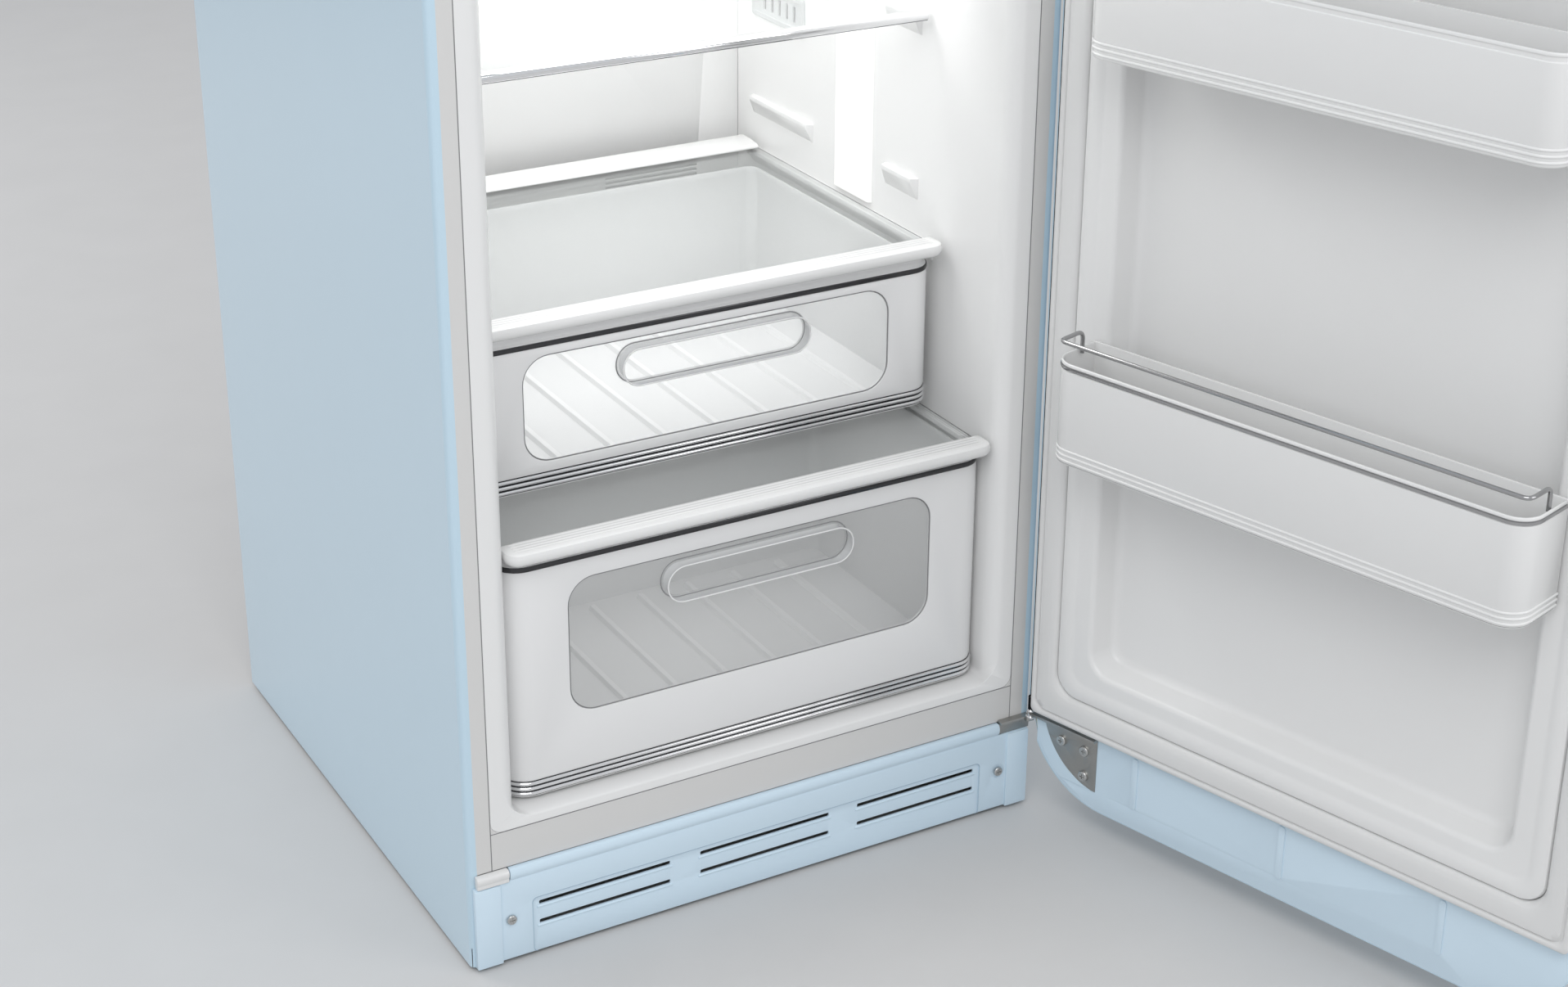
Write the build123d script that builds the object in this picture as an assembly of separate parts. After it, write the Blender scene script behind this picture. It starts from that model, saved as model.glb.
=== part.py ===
from build123d import *
import os

# Top freezer refrigerator. Millimetres, +Z up, front towards -Y.
# The origin is the centre of the cabinet's footprint, on the floor.

# Cabinet
WIDTH = 601.0
HEIGHT = 1688.0
DEPTH = 600.0
SKIN = 1.2
TOP_RADIUS = 80.0
SKIRT_Z = 4.0
EDGE_RADIUS = 5.0
RETURN = 9.0
HALF_W = WIDTH / 2
FRONT = -DEPTH / 2
BACK = DEPTH / 2

# Compartments
OPENING_HALF = 263.0
WALL_HALF = 250.0
LINER = 2.0
LIGHT_Y = (-66.0, 3.0)
LIGHT_Z = (571.0, 1120.0)
LIP_DEPTH = 16.0
FRIDGE_Z = (150.0, 1186.0)
FREEZER_Z = (1256.0, 1626.0)
OPENING_LIP = 4.0
FRIDGE_BACK = 222.0
FREEZER_BACK = 176.0
SEAM_HALF = 277.0
FLANGE_RADIUS = 12.0
MOUTH_RADIUS = 32.0
ROOM_RADIUS = 3.0
FRAME_BOTTOM = 100.0
MACHINE_Y = 62.0
MACHINE_Z = 206.0
HUMP_Z = 226.0
HUMP_Y = 40.0
RIB_Y = ((-150.0, -90.0), (49.0, 174.0))
RIB_DEPTH = 7.0
RIB_DROP = 24.0
SPARE_RIB_Z = 620.0
FREEZER_RIB_Z = 1430.0
LEDGE_DEPTH = 9.5
LEDGE_Z = 545.0
LOWER_LEDGE_DEPTH = 7.0
LOWER_LEDGE_Z = 389.5

# Shelves: the heights of the glass tops and the y of the front edges
GLASS = 4.0
SHELVES = {
    "lower": (396.0, -296.0, 248.0),
    "middle": (568.0, -209.0, 244.0),
    "upper": (785.0, -170.0, 246.0),
    "top": (985.0, -170.0, 246.0),
}
SHELF_BACK = 176.0
LOWER_SHELF_BACK = 34.0
FREEZER_SHELF = {"top": 1434.0, "y0": -230.0, "y1": 90.0, "half": 244.0}

# Drawers: face y, half width, bottom, top, back of the tub, window heights
LOWER_DRAWER = {
    "y": -284.0, "half": 248.5, "z0": 153.0, "z1": 391.0, "back": 30.0, "window": (226.0, 360.0)
}
UPPER_DRAWER = {
    "y": -202.0, "half": 239.0, "z0": 411.0, "z1": 560.0, "back": 150.0, "window": (437.0, 539.0)
}
DRAWER_CORNER = 24.0
DRAWER_WALL = 3.0
WINDOW_HALF = 188.0
WINDOW_RADIUS = 26.0
LINE_PITCH = 5.0
LINE_HEIGHT = 2.0
FIRST_LINE = 3.0
GROOVE = 0.8
DRAWER_HANDLE_HALF = 96.0
DRAWER_HANDLE_H = 36.0

# Air, light and control
BACK_COVER_Y = 208.0
BACK_COVER_Z = (227.5, 1185.5)
BACK_COVER_WALL = 2.5
AIR_SLOTS = ((-163.0, -55.0), (92.0, 200.0))
VENT_Y = (67.0, 174.0)
VENT_Z = (706.0, 743.0)
KNOB = (0.0, -175.0, 1142.0)

# Cooling works
FREEZER_FAN = (0.0, 138.0, 1540.0, 50.0)
CONDENSER_FAN = (120.0, 174.0, 108.0, 48.0)
COMPRESSOR = (-120.0, 180.0)

# Doors, closed
DOOR_IN = -312.0
DOOR_OUT = -380.0
DOOR_EDGE = 30.0
FRIDGE_DOOR_Z = (29.0, 1203.0)
FREEZER_DOOR_Z = (1217.0, 1687.0)
DOOR_BOTTOM_RADIUS = 94.0
DOOR_SPLIT_RADIUS = 34.0
GASKET_OUT = 291.5
GASKET_LIP = 11.5
SEAL_Z = 114.0
PANEL_Y = -304.0
RECESS_HALF = 224.0
RECESS_Y = -332.0
RECESS_RADIUS = 22.0
HINGE = (296.0, -310.0)
PIN = 2.5
RUNNING = 0.05
SLEEVE = 3.2
HINGE_RELIEF = 8.0
OPEN_ANGLE = 106.0
TOP_HINGE_Z = 1580.0
FRIDGE_SLEEVES = ((109.0, 125.0), (1185.0, 1203.0))
FREEZER_SLEEVES = ((1217.0, 1235.0), (1585.5, 1601.0))
HINGE_SCREWS = ((257.3, 90.7), (229.0, 90.0), (229.0, 62.2))
FRIDGE_RADII = (DOOR_BOTTOM_RADIUS, DOOR_SPLIT_RADIUS)
FREEZER_RADII = (DOOR_SPLIT_RADIUS, TOP_RADIUS)
FRIDGE_LINER = (SEAL_Z, 1194.0, 30.0)
FREEZER_LINER = (1226.0, 1662.0, 58.0)
FRIDGE_RECESS = (-RECESS_HALF, RECESS_HALF, 182.0, 1140.0)
FREEZER_RECESS = (-RECESS_HALF, RECESS_HALF, 1290.0, 1600.0)
HANDLE_X = -250.0
HANDLE_REACH = 40.0
FRIDGE_HANDLE_Z = (700.0, 1080.0)
FREEZER_HANDLE_Z = (1300.0, 1520.0)

# Door bins, closed: half width, bottom and top, front y
BINS = {
    "bottle_bin": {"half": 238.0, "z": (423.0, 521.0), "y": -240.0},
    "middle_bin": {"half": 222.0, "z": (802.0, 890.0), "y": -240.0},
    "dairy_bin": {"half": 222.0, "z": (1040.0, 1110.0), "y": -246.0},
}
BIN_CORNER = 22.0
BIN_WALL = 2.5
BIN_BACK = PANEL_Y + 1.5
RAIL_WIRE = 2.0
RAIL_RISE = 17.0

# Plinth
PLINTH_HALF = 297.0
PLINTH_Y = -306.5
PLINTH_WALL = 2.5
SLOTS = ((-234.0, -101.0), (-69.5, 69.5), (101.0, 234.0))
SLOT_ROWS = (54.7, 34.5)
PLINTH_SCREW = (262.3, 47.0)

# Feet and rollers
FOOT = (276.0, -262.0, 15.0)
ROLLER = (281.5, 262.0, 22.0)
RAIL_IN = 264.0
RAIL_TOP = 102.8
AXLE = 4.0
STUD = 5.0


def block(x0, x1, y0, y1, z0, z1):
    """A box between two corners."""
    middle = Pos((x0 + x1) / 2, (y0 + y1) / 2, (z0 + z1) / 2)
    return middle * Box(x1 - x0, y1 - y0, z1 - z0)


def front_plane(y):
    """A sketch plane facing the front, with x to the right and z up."""
    return Plane(origin=(0, y, 0), x_dir=(1, 0, 0), z_dir=(0, -1, 0))


def prism(sketch, y0, y1):
    """A front-view sketch given depth from y0 to y1."""
    return extrude(front_plane(y1) * sketch, amount=y1 - y0)


def rounded(x0, x1, z0, z1, radius):
    """A front-view rectangle with round corners."""
    return Pos((x0 + x1) / 2, (z0 + z1) / 2) * RectangleRounded(x1 - x0, z1 - z0, radius)


def rectangle(x0, x1, z0, z1):
    """A front-view rectangle between two corners."""
    return Pos((x0 + x1) / 2, (z0 + z1) / 2) * Rectangle(x1 - x0, z1 - z0)


def two_radius(half, z0, z1, low_radius, top_radius):
    """A front-view rectangle whose top and bottom corners differ."""
    sketch = rectangle(-half, half, z0, z1)
    rows = sketch.vertices().group_by(Axis.Y)
    if top_radius > 0:
        sketch = fillet(rows[-1], top_radius)
    rows = sketch.vertices().group_by(Axis.Y)
    if low_radius > 0:
        sketch = fillet(rows[0], low_radius)
    return sketch


def rod(start, end, radius):
    """A round bar between two points."""
    path = Vector(*end) - Vector(*start)
    plane = Plane(origin=start, z_dir=(path.X, path.Y, path.Z))
    return extrude(plane * Circle(radius), amount=path.length)


def tube(points, radius, bend):
    """A round tube along a bent path."""
    path = FilletPolyline(*points, radius=bend)
    plane = Plane(origin=path @ 0, z_dir=path % 0)
    return sweep(plane * Circle(radius), path=path)


def mirrored(solid):
    """The piece and its twin on the other side of the middle."""
    return [solid, mirror(solid, about=Plane.YZ)]


def hinge_round(radius, z0, z1):
    """A cylinder on the door hinge axis."""
    return Pos(HINGE[0], HINGE[1], (z0 + z1) / 2) * Cylinder(radius, z1 - z0)


def opened(piece):
    """Swings a piece of the fridge door from closed to its stored angle."""
    swing = Pos(HINGE[0], HINGE[1], 0) * Rot(0, 0, OPEN_ANGLE) * Pos(-HINGE[0], -HINGE[1], 0)
    return swing * piece


def save(node, pieces, swing=False):
    """Writes one node as a STEP file."""
    if not isinstance(pieces, (list, tuple)):
        pieces = [pieces]
    solids = [solid for piece in pieces for solid in piece.solids()]
    if swing:
        solids = [opened(solid) for solid in solids]
    shape = solids[0] if len(solids) == 1 else Compound(children=solids)
    shape.label = node
    export_step(shape, f"parts/{node}.step")


# Cabinet shell


def cabinet_sketch(inset):
    """The cabinet's outline in front view, grown inwards by the inset."""
    return two_radius(HALF_W - inset, SKIRT_Z, HEIGHT - inset, 0, TOP_RADIUS - inset)


def cabinet_solid(inset, back):
    """The cabinet's outer form with its rolled front edge, grown inwards by the inset."""
    solid = prism(cabinet_sketch(inset), FRONT + inset, back)
    rim = solid.edges().filter_by(lambda e: abs(e.center().Y - FRONT - inset) < 0.01)
    rim = rim.filter_by(lambda e: e.center().Z > SKIRT_Z + 1)
    return fillet(rim, EDGE_RADIUS - inset)


def outer_wrap():
    """The painted sheet of both sides and the top, with its folded front edge."""
    outer = cabinet_solid(0, BACK)
    inner = cabinet_solid(SKIN, BACK + 1)
    mouth = prism(cabinet_sketch(RETURN), FRONT - 1, FRONT + SKIN + 1)
    underside = block(-HALF_W + SKIN, HALF_W - SKIN, FRONT + SKIN, BACK + 1, 0, SKIRT_Z + 20)
    notch = block(-HALF_W + RETURN, HALF_W - RETURN, FRONT - 1, FRONT + 3, 0, 60)
    return outer - inner - mouth - underside - notch


def flange_sketch(z_range):
    """The outline of a liner's flange, in front view."""
    return rounded(-SEAM_HALF, SEAM_HALF, z_range[0] - 13, z_range[1] + 14, FLANGE_RADIUS)


def front_frame():
    """The flat strips around both openings, outside the liners' flanges."""
    half = HALF_W - RETURN
    top = HEIGHT - RETURN
    sheet = two_radius(half, FRAME_BOTTOM, top, 0, TOP_RADIUS - RETURN)
    sheet = sheet - flange_sketch(FRIDGE_Z) - flange_sketch(FREEZER_Z)
    return prism(sheet, FRONT, FRONT + SKIN)


def cavity(z_range, back, wall):
    """The room inside a compartment with its flared mouth, grown outwards by the wall."""
    z0, z1 = z_range
    half = WALL_HALF + wall
    narrow = rounded(-half, half, z0 - wall, z1 + wall, ROOM_RADIUS + wall)
    half = OPENING_HALF + wall
    lip = OPENING_LIP + wall
    wide = rounded(-half, half, z0 - lip, z1 + lip, MOUTH_RADIUS + wall)
    mouth = loft([front_plane(FRONT) * wide, front_plane(FRONT + LIP_DEPTH) * narrow])
    return prism(narrow, FRONT + LIP_DEPTH, back + wall) + mouth


def hump(wall):
    """The step in the fridge floor over the machine space, shrunk by the wall."""
    edge = HUMP_Y + wall
    return block(-WALL_HALF - 5, WALL_HALF + 5, edge, FRIDGE_BACK + 5, 100, HUMP_Z - wall)


def shelf_ribs(levels):
    """Moulded rests for the shelves on both side walls."""
    ribs = []
    for level in levels:
        for y0, y1 in RIB_Y:
            rib = block(WALL_HALF - RIB_DEPTH, WALL_HALF + 1, y0, y1, level - RIB_DROP, level)
            ribs += mirrored(fillet(rib.edges().filter_by(Axis.Z), 3))
    return ribs


def ledge(depth, y0, y1, z0, z1):
    """A long rest on both side walls, for a drawer shelf."""
    return mirrored(block(WALL_HALF - depth, WALL_HALF + 1, y0, y1, z0, z1))


def fridge_liner():
    """The moulded white lining of the fridge compartment."""
    shell = cavity(FRIDGE_Z, FRIDGE_BACK, LINER) - hump(LINER)
    shell = shell + prism(flange_sketch(FRIDGE_Z), FRONT, FRONT + SKIN)
    shell = shell - (cavity(FRIDGE_Z, FRIDGE_BACK, 0) - hump(0))
    levels = [SPARE_RIB_Z] + [SHELVES[name][0] - GLASS for name in ("upper", "top")]
    middle, lower = SHELVES["middle"], SHELVES["lower"]
    rests = shelf_ribs(levels)
    rests += ledge(LEDGE_DEPTH, middle[1] + 29, SHELF_BACK, LEDGE_Z, middle[0] - GLASS)
    rests += ledge(
        LOWER_LEDGE_DEPTH, lower[1] + 48, LOWER_SHELF_BACK, LOWER_LEDGE_Z, lower[0] - GLASS
    )
    for rest in rests:
        shell = shell + rest
    return shell


def freezer_liner():
    """The moulded white lining of the freezer."""
    shell = cavity(FREEZER_Z, FREEZER_BACK, LINER)
    shell = shell + prism(flange_sketch(FREEZER_Z), FRONT, FRONT + SKIN)
    shell = shell - cavity(FREEZER_Z, FREEZER_BACK, 0)
    for rib in shelf_ribs([FREEZER_RIB_Z]):
        shell = shell + rib
    return shell


def cabinet_insulation():
    """The poured foam, in blocks that meet face to face around the two cavities."""
    body = cabinet_solid(SKIN, BACK - SKIN)
    rooms = [
        cavity(FRIDGE_Z, FRIDGE_BACK, LINER),
        cavity(FREEZER_Z, FREEZER_BACK, LINER),
    ]
    wall = WALL_HALF + LINER
    mid = FRIDGE_Z[1] + LINER
    mid_top = FREEZER_Z[0] - LINER
    crown = FREEZER_Z[1] + LINER
    far = HALF_W
    regions = [
        (-far, far, FRONT, MACHINE_Y, RAIL_TOP + SKIN, FRIDGE_Z[0] - LINER),
        (-wall, wall, HUMP_Y + LINER, MACHINE_Y, FRIDGE_Z[0] - LINER, HUMP_Z - LINER),
        (-wall, wall, MACHINE_Y, FRIDGE_BACK + LINER, MACHINE_Z + SKIN, HUMP_Z - LINER),
        (-far, far, FRIDGE_BACK + LINER, BACK, MACHINE_Z + SKIN, mid),
        (-wall, wall, FRONT, FRIDGE_BACK + LINER, mid, mid_top),
        (-far, far, FREEZER_BACK + LINER, BACK, mid_top, crown),
        (-wall, wall, FRIDGE_BACK + LINER, BACK, mid, mid_top),
        (-far, far, FRONT, BACK, crown, HEIGHT),
    ]
    sides = [
        (wall, far, FRONT, MACHINE_Y, FRIDGE_Z[0] - LINER, MACHINE_Z + SKIN),
        (wall, far, FRONT, FRIDGE_BACK + LINER, MACHINE_Z + SKIN, mid),
        (wall, far, FRONT, BACK, mid, mid_top),
        (wall, far, FRONT, FREEZER_BACK + LINER, mid_top, crown),
    ]
    regions += sides
    regions += [(-x1, -x0, y0, y1, z0, z1) for x0, x1, y0, y1, z0, z1 in sides]
    for room in rooms:
        body = body - room
    return [body & block(*region) for region in regions]


def bottom_panel():
    """The folded steel floor of the cabinet, stepped over the machine space."""
    half = HALF_W - SKIN
    floor = block(-half, half, FRONT + EDGE_RADIUS, MACHINE_Y, RAIL_TOP, RAIL_TOP + SKIN)
    riser = block(-half, half, MACHINE_Y, MACHINE_Y + SKIN, RAIL_TOP, MACHINE_Z + SKIN)
    roof = block(-half, half, MACHINE_Y + SKIN, BACK - SKIN, MACHINE_Z, MACHINE_Z + SKIN)
    return floor + riser + roof


def back_panel():
    """The sheet that closes the back above the machine space."""
    sheet = two_radius(HALF_W - SKIN, MACHINE_Z, HEIGHT - SKIN, 0, TOP_RADIUS - SKIN)
    return prism(sheet, BACK - SKIN, BACK)


def machine_cover():
    """The slotted cover over the machine space at the back."""
    half = RAIL_IN
    sheet = rectangle(-half, half, 24, MACHINE_Z - 1)
    for column in range(9):
        x = -208 + 52 * column
        for z in (60, 120, 170):
            sheet = sheet - Pos(x, z) * SlotOverall(38, 6)
    return prism(sheet, BACK - SKIN, BACK)


# Base


def base_rail():
    """One folded runner under the cabinet, with the foot's nut block."""
    out = HALF_W - SKIN
    rail = block(RAIL_IN, out, FRONT + EDGE_RADIUS, BACK - 2, 14, RAIL_TOP)
    rail = rail - block(RAIL_IN + 2, out - 2, FRONT + EDGE_RADIUS + 2, BACK - 4, 0, RAIL_TOP - 2)
    nut = block(RAIL_IN + 2, out - 2, FOOT[1] - 14, FOOT[1] + 14, 30, 46)
    rail = rail + nut
    rail = rail - Pos(FOOT[0], FOOT[1], 38) * Cylinder(5.4, 40)
    rail = rail - rod((RAIL_IN - 5, ROLLER[1], ROLLER[2]), (out + 5, ROLLER[1], ROLLER[2]), AXLE + 0.02)
    x, z = PLINTH_SCREW
    return rail - rod((x, FRONT, z), (x, FRONT + 20, z), 2.1)


def front_foot():
    """A levelling foot: a disc, a hexagon for the spanner and a threaded stud."""
    x, y, radius = FOOT
    disc = Pos(x, y, 4) * Cylinder(radius, 8)
    disc = fillet(disc.edges().group_by(Axis.Z)[-1], 2)
    hexagon = extrude(Pos(x, y, 8) * RegularPolygon(8, 6), amount=7)
    stud = Pos(x, y, 15 + 22) * Cylinder(STUD, 44)
    return disc + hexagon + stud


def rear_roller():
    """A plastic roller with eased rims, bored for its axle."""
    x, y, radius = ROLLER
    wheel = rod((x - 9, y, radius), (x + 9, y, radius), radius)
    wheel = fillet(wheel.edges(), 2.5)
    return wheel - rod((x - 20, y, radius), (x + 20, y, radius), AXLE + 0.06)


def roller_axle():
    """A headed pin across the rail, under the back."""
    out = HALF_W - SKIN
    axle = rod((RAIL_IN, ROLLER[1], ROLLER[2]), (out - 0.2, ROLLER[1], ROLLER[2]), AXLE)
    return axle + rod((RAIL_IN - 3, ROLLER[1], ROLLER[2]), (RAIL_IN, ROLLER[1], ROLLER[2]), 6)


def plinth():
    """The clip-on grille under the doors, with two rows of air slots."""
    wall = PLINTH_WALL
    outer = block(-PLINTH_HALF, PLINTH_HALF, PLINTH_Y, FRONT, SKIRT_Z, FRAME_BOTTOM)
    outer = fillet(outer.edges().filter_by(Axis.Z).group_by(Axis.Y)[0], 2.5)
    top_edge = outer.edges().filter_by(Axis.X).group_by(Axis.Z)[-1].sort_by(Axis.Y)[0]
    outer = fillet(top_edge, 3)
    half = PLINTH_HALF - wall
    inner = block(-half, half, PLINTH_Y + wall, FRONT + 1, SKIRT_Z + wall, FRAME_BOTTOM - wall)
    grille = outer - inner
    for row in SLOT_ROWS:
        for x0, x1 in SLOTS:
            grille = grille - block(x0, x1, PLINTH_Y - 1, FRONT, row - 2.2, row + 2.2)
    notch = block(262, PLINTH_HALF + 1, PLINTH_Y - 1, FRONT + 1, 87, FRAME_BOTTOM + 1)
    grille = grille - notch - mirror(notch, about=Plane.YZ)
    for side in (-1, 1):
        x, z = side * PLINTH_SCREW[0], PLINTH_SCREW[1]
        grille = grille - rod((x, PLINTH_Y - 1, z), (x, FRONT, z), 2.1)
        grille = grille - rod((x, PLINTH_Y - 1, z), (x, PLINTH_Y + 1.2, z), 7.5)
    return grille


def screw(x, y, z, head=4.8, shank=2.0, length=14.0):
    """A pan-head screw driven towards +Y, with a cross recess."""
    top = rod((x, y - 2.4, z), (x, y, z), head)
    top = fillet(top.edges().group_by(Axis.Y)[0], 1.4)
    slot = block(x - 2.6, x + 2.6, y - 3, y - 1.2, z - 0.5, z + 0.5)
    slot = slot + block(x - 0.5, x + 0.5, y - 3, y - 1.2, z - 2.6, z + 2.6)
    return top + rod((x, y, z), (x, y + length, z), shank) - slot


def plinth_screws():
    """The two screws at the ends of the plinth."""
    return mirrored(screw(PLINTH_SCREW[0], PLINTH_Y + 1.2, PLINTH_SCREW[1], length=12))


def hinge_blank():
    """The white cover over the unused hinge place at the left."""
    cover = block(-294, -263, FRONT - 7.5, FRONT - 0.1, 87.3, 99.8)
    return fillet(cover.edges().group_by(Axis.Y)[0], 1.5)


def bottom_hinge():
    """The folded steel bracket that carries the door's lower pin."""
    web = block(263, 298.5, FRONT - 3, FRONT - 0.1, 87.3, 102)
    tongue = block(263, 290, HINGE[1] + 2.5, FRONT - 3, 99, 102)
    lobe = block(290, 299, HINGE[1] - 3, FRONT - 3, 99, 102)
    lobe = fillet(lobe.edges().filter_by(Axis.Z).group_by(Axis.Y)[0], 2.4)
    return web + tongue + lobe - hinge_round(PIN, 98, 103)


def bottom_hinge_pin():
    """The lower pin with its round collar."""
    pin = hinge_round(PIN, 99, 124)
    collar = fillet(hinge_round(3.4, 102, 105.6).edges(), 1.2)
    return pin + collar


def middle_hinge():
    """The plate between the doors, on the front of the divider."""
    plate = block(255, 290, FRONT - 6, FRONT - 0.1, 1208, 1212)
    lobe = block(284, 299, HINGE[1] - 4, FRONT - 0.1, 1208, 1212)
    lobe = fillet(lobe.edges().filter_by(Axis.Z).group_by(Axis.Y)[0], 3)
    return plate + lobe - hinge_round(PIN, 1200, 1220)


def middle_hinge_pin():
    """One long pin for the lower door's top and the upper door's bottom."""
    return hinge_round(PIN, 1186, 1234)


def top_hinge():
    """The steel tongue on the cabinet's edge for the freezer door's top pin."""
    plate = block(293.2, 298.5, FRONT - 2, FRONT - 0.1, TOP_HINGE_Z - 20, TOP_HINGE_Z + 24)
    tongue = block(293.2, 299, HINGE[1] - 3, FRONT - 2, TOP_HINGE_Z, TOP_HINGE_Z + 4)
    return plate + tongue - hinge_round(PIN, TOP_HINGE_Z - 2, TOP_HINGE_Z + 6)


def top_hinge_pin():
    """The freezer door's upper pin."""
    return hinge_round(PIN, TOP_HINGE_Z, TOP_HINGE_Z + 20)


# Shelves


def shelf_glass(name):
    """A tempered glass plate with eased corners."""
    top, front, half = SHELVES[name]
    back = LOWER_SHELF_BACK if name == "lower" else SHELF_BACK
    plate = block(-half + 2, half - 2, front + 6, back, top - GLASS, top)
    return fillet(plate.edges().filter_by(Axis.Z), 4)


def ribbed_trim(name):
    """The white rail on a drawer shelf's front edge, with fine grooves."""
    top, front, half = SHELVES[name]
    rail = block(-half, half, front - 4, front + 26, top, top + 7)
    rail = rail + block(-half, half, front - 4, front + 5.6, top - GLASS - 0.4, top)
    rail = fillet(rail.edges().filter_by(Axis.Z).group_by(Axis.Y)[0], 12)
    for step in range(3):
        y = front + 6 + 6 * step
        rail = rail - block(-half + 14, half - 14, y, y + 1.2, top + 6.2, top + 8)
    return rail


def rear_trim(name):
    """The white rail along a shelf's back edge."""
    top, _, half = SHELVES[name]
    rail = block(-half + 2, half - 2, SHELF_BACK - 28, SHELF_BACK + 8, top, top + 6)
    rail = fillet(rail.edges().filter_by(Axis.Z), 6)
    return rail + block(-half + 12, half - 12, SHELF_BACK + 0.2, SHELF_BACK + 6, top - GLASS - 2, top)


def bright_strip(name):
    """The slim metal strip on a plain shelf's front edge."""
    top, front, half = SHELVES[name]
    strip = block(-half + 2, half - 2, front, front + 12, top - GLASS - 3, top + 4)
    groove = block(-half, half, front + 5.8, front + 13, top - GLASS - 0.05, top + 0.05)
    return strip - groove


# Drawers


def drawer_outline(drawer, inset):
    """A drawer in plan: round front corners, square back."""
    half = drawer["half"] - inset
    y0 = drawer["y"] + inset
    y1 = drawer["back"] - inset
    plan = Pos(0, (y0 + y1) / 2) * Rectangle(2 * half, y1 - y0)
    front_corners = plan.vertices().group_by(Axis.Y)[0]
    return fillet(front_corners, DRAWER_CORNER - inset)


def slab(plan, z0, z1):
    """A plan given height from z0 to z1."""
    return extrude(Pos(0, 0, z0) * plan, amount=z1 - z0)


def window_sketch(drawer):
    """The outline of a drawer's window in front view."""
    return rounded(-WINDOW_HALF, WINDOW_HALF, *drawer["window"], WINDOW_RADIUS)


def drawer_band(drawer, out, depth, z0, z1):
    """A band that follows a drawer's front face and corners."""
    return slab(drawer_outline(drawer, -out), z0, z1) - slab(drawer_outline(drawer, depth), z0, z1)


def line_heights(bottom):
    """The bottoms of the three fine lines above a lower edge."""
    return [bottom + FIRST_LINE + LINE_PITCH * line for line in range(3)]


def drawer_front(drawer):
    """The white front that wraps the two front corners, with its window."""
    z0, z1, y = drawer["z0"], drawer["z1"], drawer["y"]
    shell = drawer_band(drawer, 0, DRAWER_WALL, z0, z1)
    front = shell & block(-300, 300, y - 1, y + DRAWER_CORNER + 8, z0, z1)
    front = front - prism(window_sketch(drawer), y - 1, y + 10)
    front = front - drawer_band(drawer, 1, GROOVE, z1 - 12, z1 - 8)
    for z in line_heights(z0):
        front = front - drawer_band(drawer, 1, GROOVE, z, z + LINE_HEIGHT)
    return front


def drawer_strips(drawer):
    """The bright band along the top of a drawer front and the three lines below."""
    y, z1 = drawer["y"], drawer["z1"]
    rows = [(z1 - 12, z1 - 8)] + [(z, z + LINE_HEIGHT) for z in line_heights(drawer["z0"])]
    face = block(-300, 300, y - 2, y + DRAWER_CORNER, 0, HEIGHT)
    return [drawer_band(drawer, 0.3, GROOVE, *row) & face for row in rows]


def drawer_tub(drawer):
    """The clear box behind the front, with raised floor ribs."""
    z0, z1 = drawer["z0"] + 1, drawer["z1"] - 2
    inset = DRAWER_WALL
    tub = slab(drawer_outline(drawer, inset), z0, z1)
    tub = tub - slab(drawer_outline(drawer, inset + 2.5), z0 + 2.5, z1 + 1)
    for rib in range(8):
        x = -189 + 54 * rib
        tub = tub + block(x - 2, x + 2, drawer["y"] + 30, drawer["back"] - 20, z0 + 2, z0 + 4)
    return tub


def drawer_handle(drawer):
    """The clear loop on the window: a stadium ring that stands off the front."""
    middle = drawer["window"][1] - 6 - DRAWER_HANDLE_H / 2
    long = 2 * DRAWER_HANDLE_HALF
    ring = Pos(0, middle) * SlotOverall(long, DRAWER_HANDLE_H)
    hole = Pos(0, middle) * SlotOverall(long - 14, DRAWER_HANDLE_H - 14)
    return prism(ring - hole, drawer["y"] - 13, drawer["y"] + DRAWER_WALL)


# Air, light and control


def vent_panel():
    """The slotted grey outlet at the back of the right wall."""
    y0, y1 = VENT_Y
    z0, z1 = VENT_Z
    sheet = block(WALL_HALF - 3, WALL_HALF - 0.1, y0, y1, z0, z1)
    for slot in range(5):
        y = y0 + 19 + 15 * slot
        sheet = sheet - block(WALL_HALF - 4, WALL_HALF, y - 2.5, y + 2.5, z0 + 10, z1 - 10)
    return sheet


def light_cover():
    """The tall diffuser over the light on the right wall."""
    cover = block(WALL_HALF - 4, WALL_HALF - 0.1, *LIGHT_Y, *LIGHT_Z)
    return fillet(cover.edges().filter_by(Axis.Z).group_by(Axis.X)[0], 2)


def control_box():
    """The housing under the ceiling that carries the temperature knob."""
    box = block(-120, 120, -240, -110, 1150, FRIDGE_Z[1] - 0.2)
    box = fillet(box.edges().filter_by(Axis.Z), 14)
    x, y, z = KNOB
    shaft = Pos(x, y, z + 8) * Cylinder(3.1, 60)
    return box - shaft


def control_knob():
    """The round temperature knob with its finger bar, on a short stem."""
    x, y, z = KNOB
    knob = Pos(x, y, z) * Cylinder(20, 14)
    grip = block(x - 18, x + 18, y - 3, y + 3, z - 15, z - 6)
    stem = Pos(x, y, z + 7) * Cylinder(3.05, 28)
    return knob + grip + stem


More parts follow.
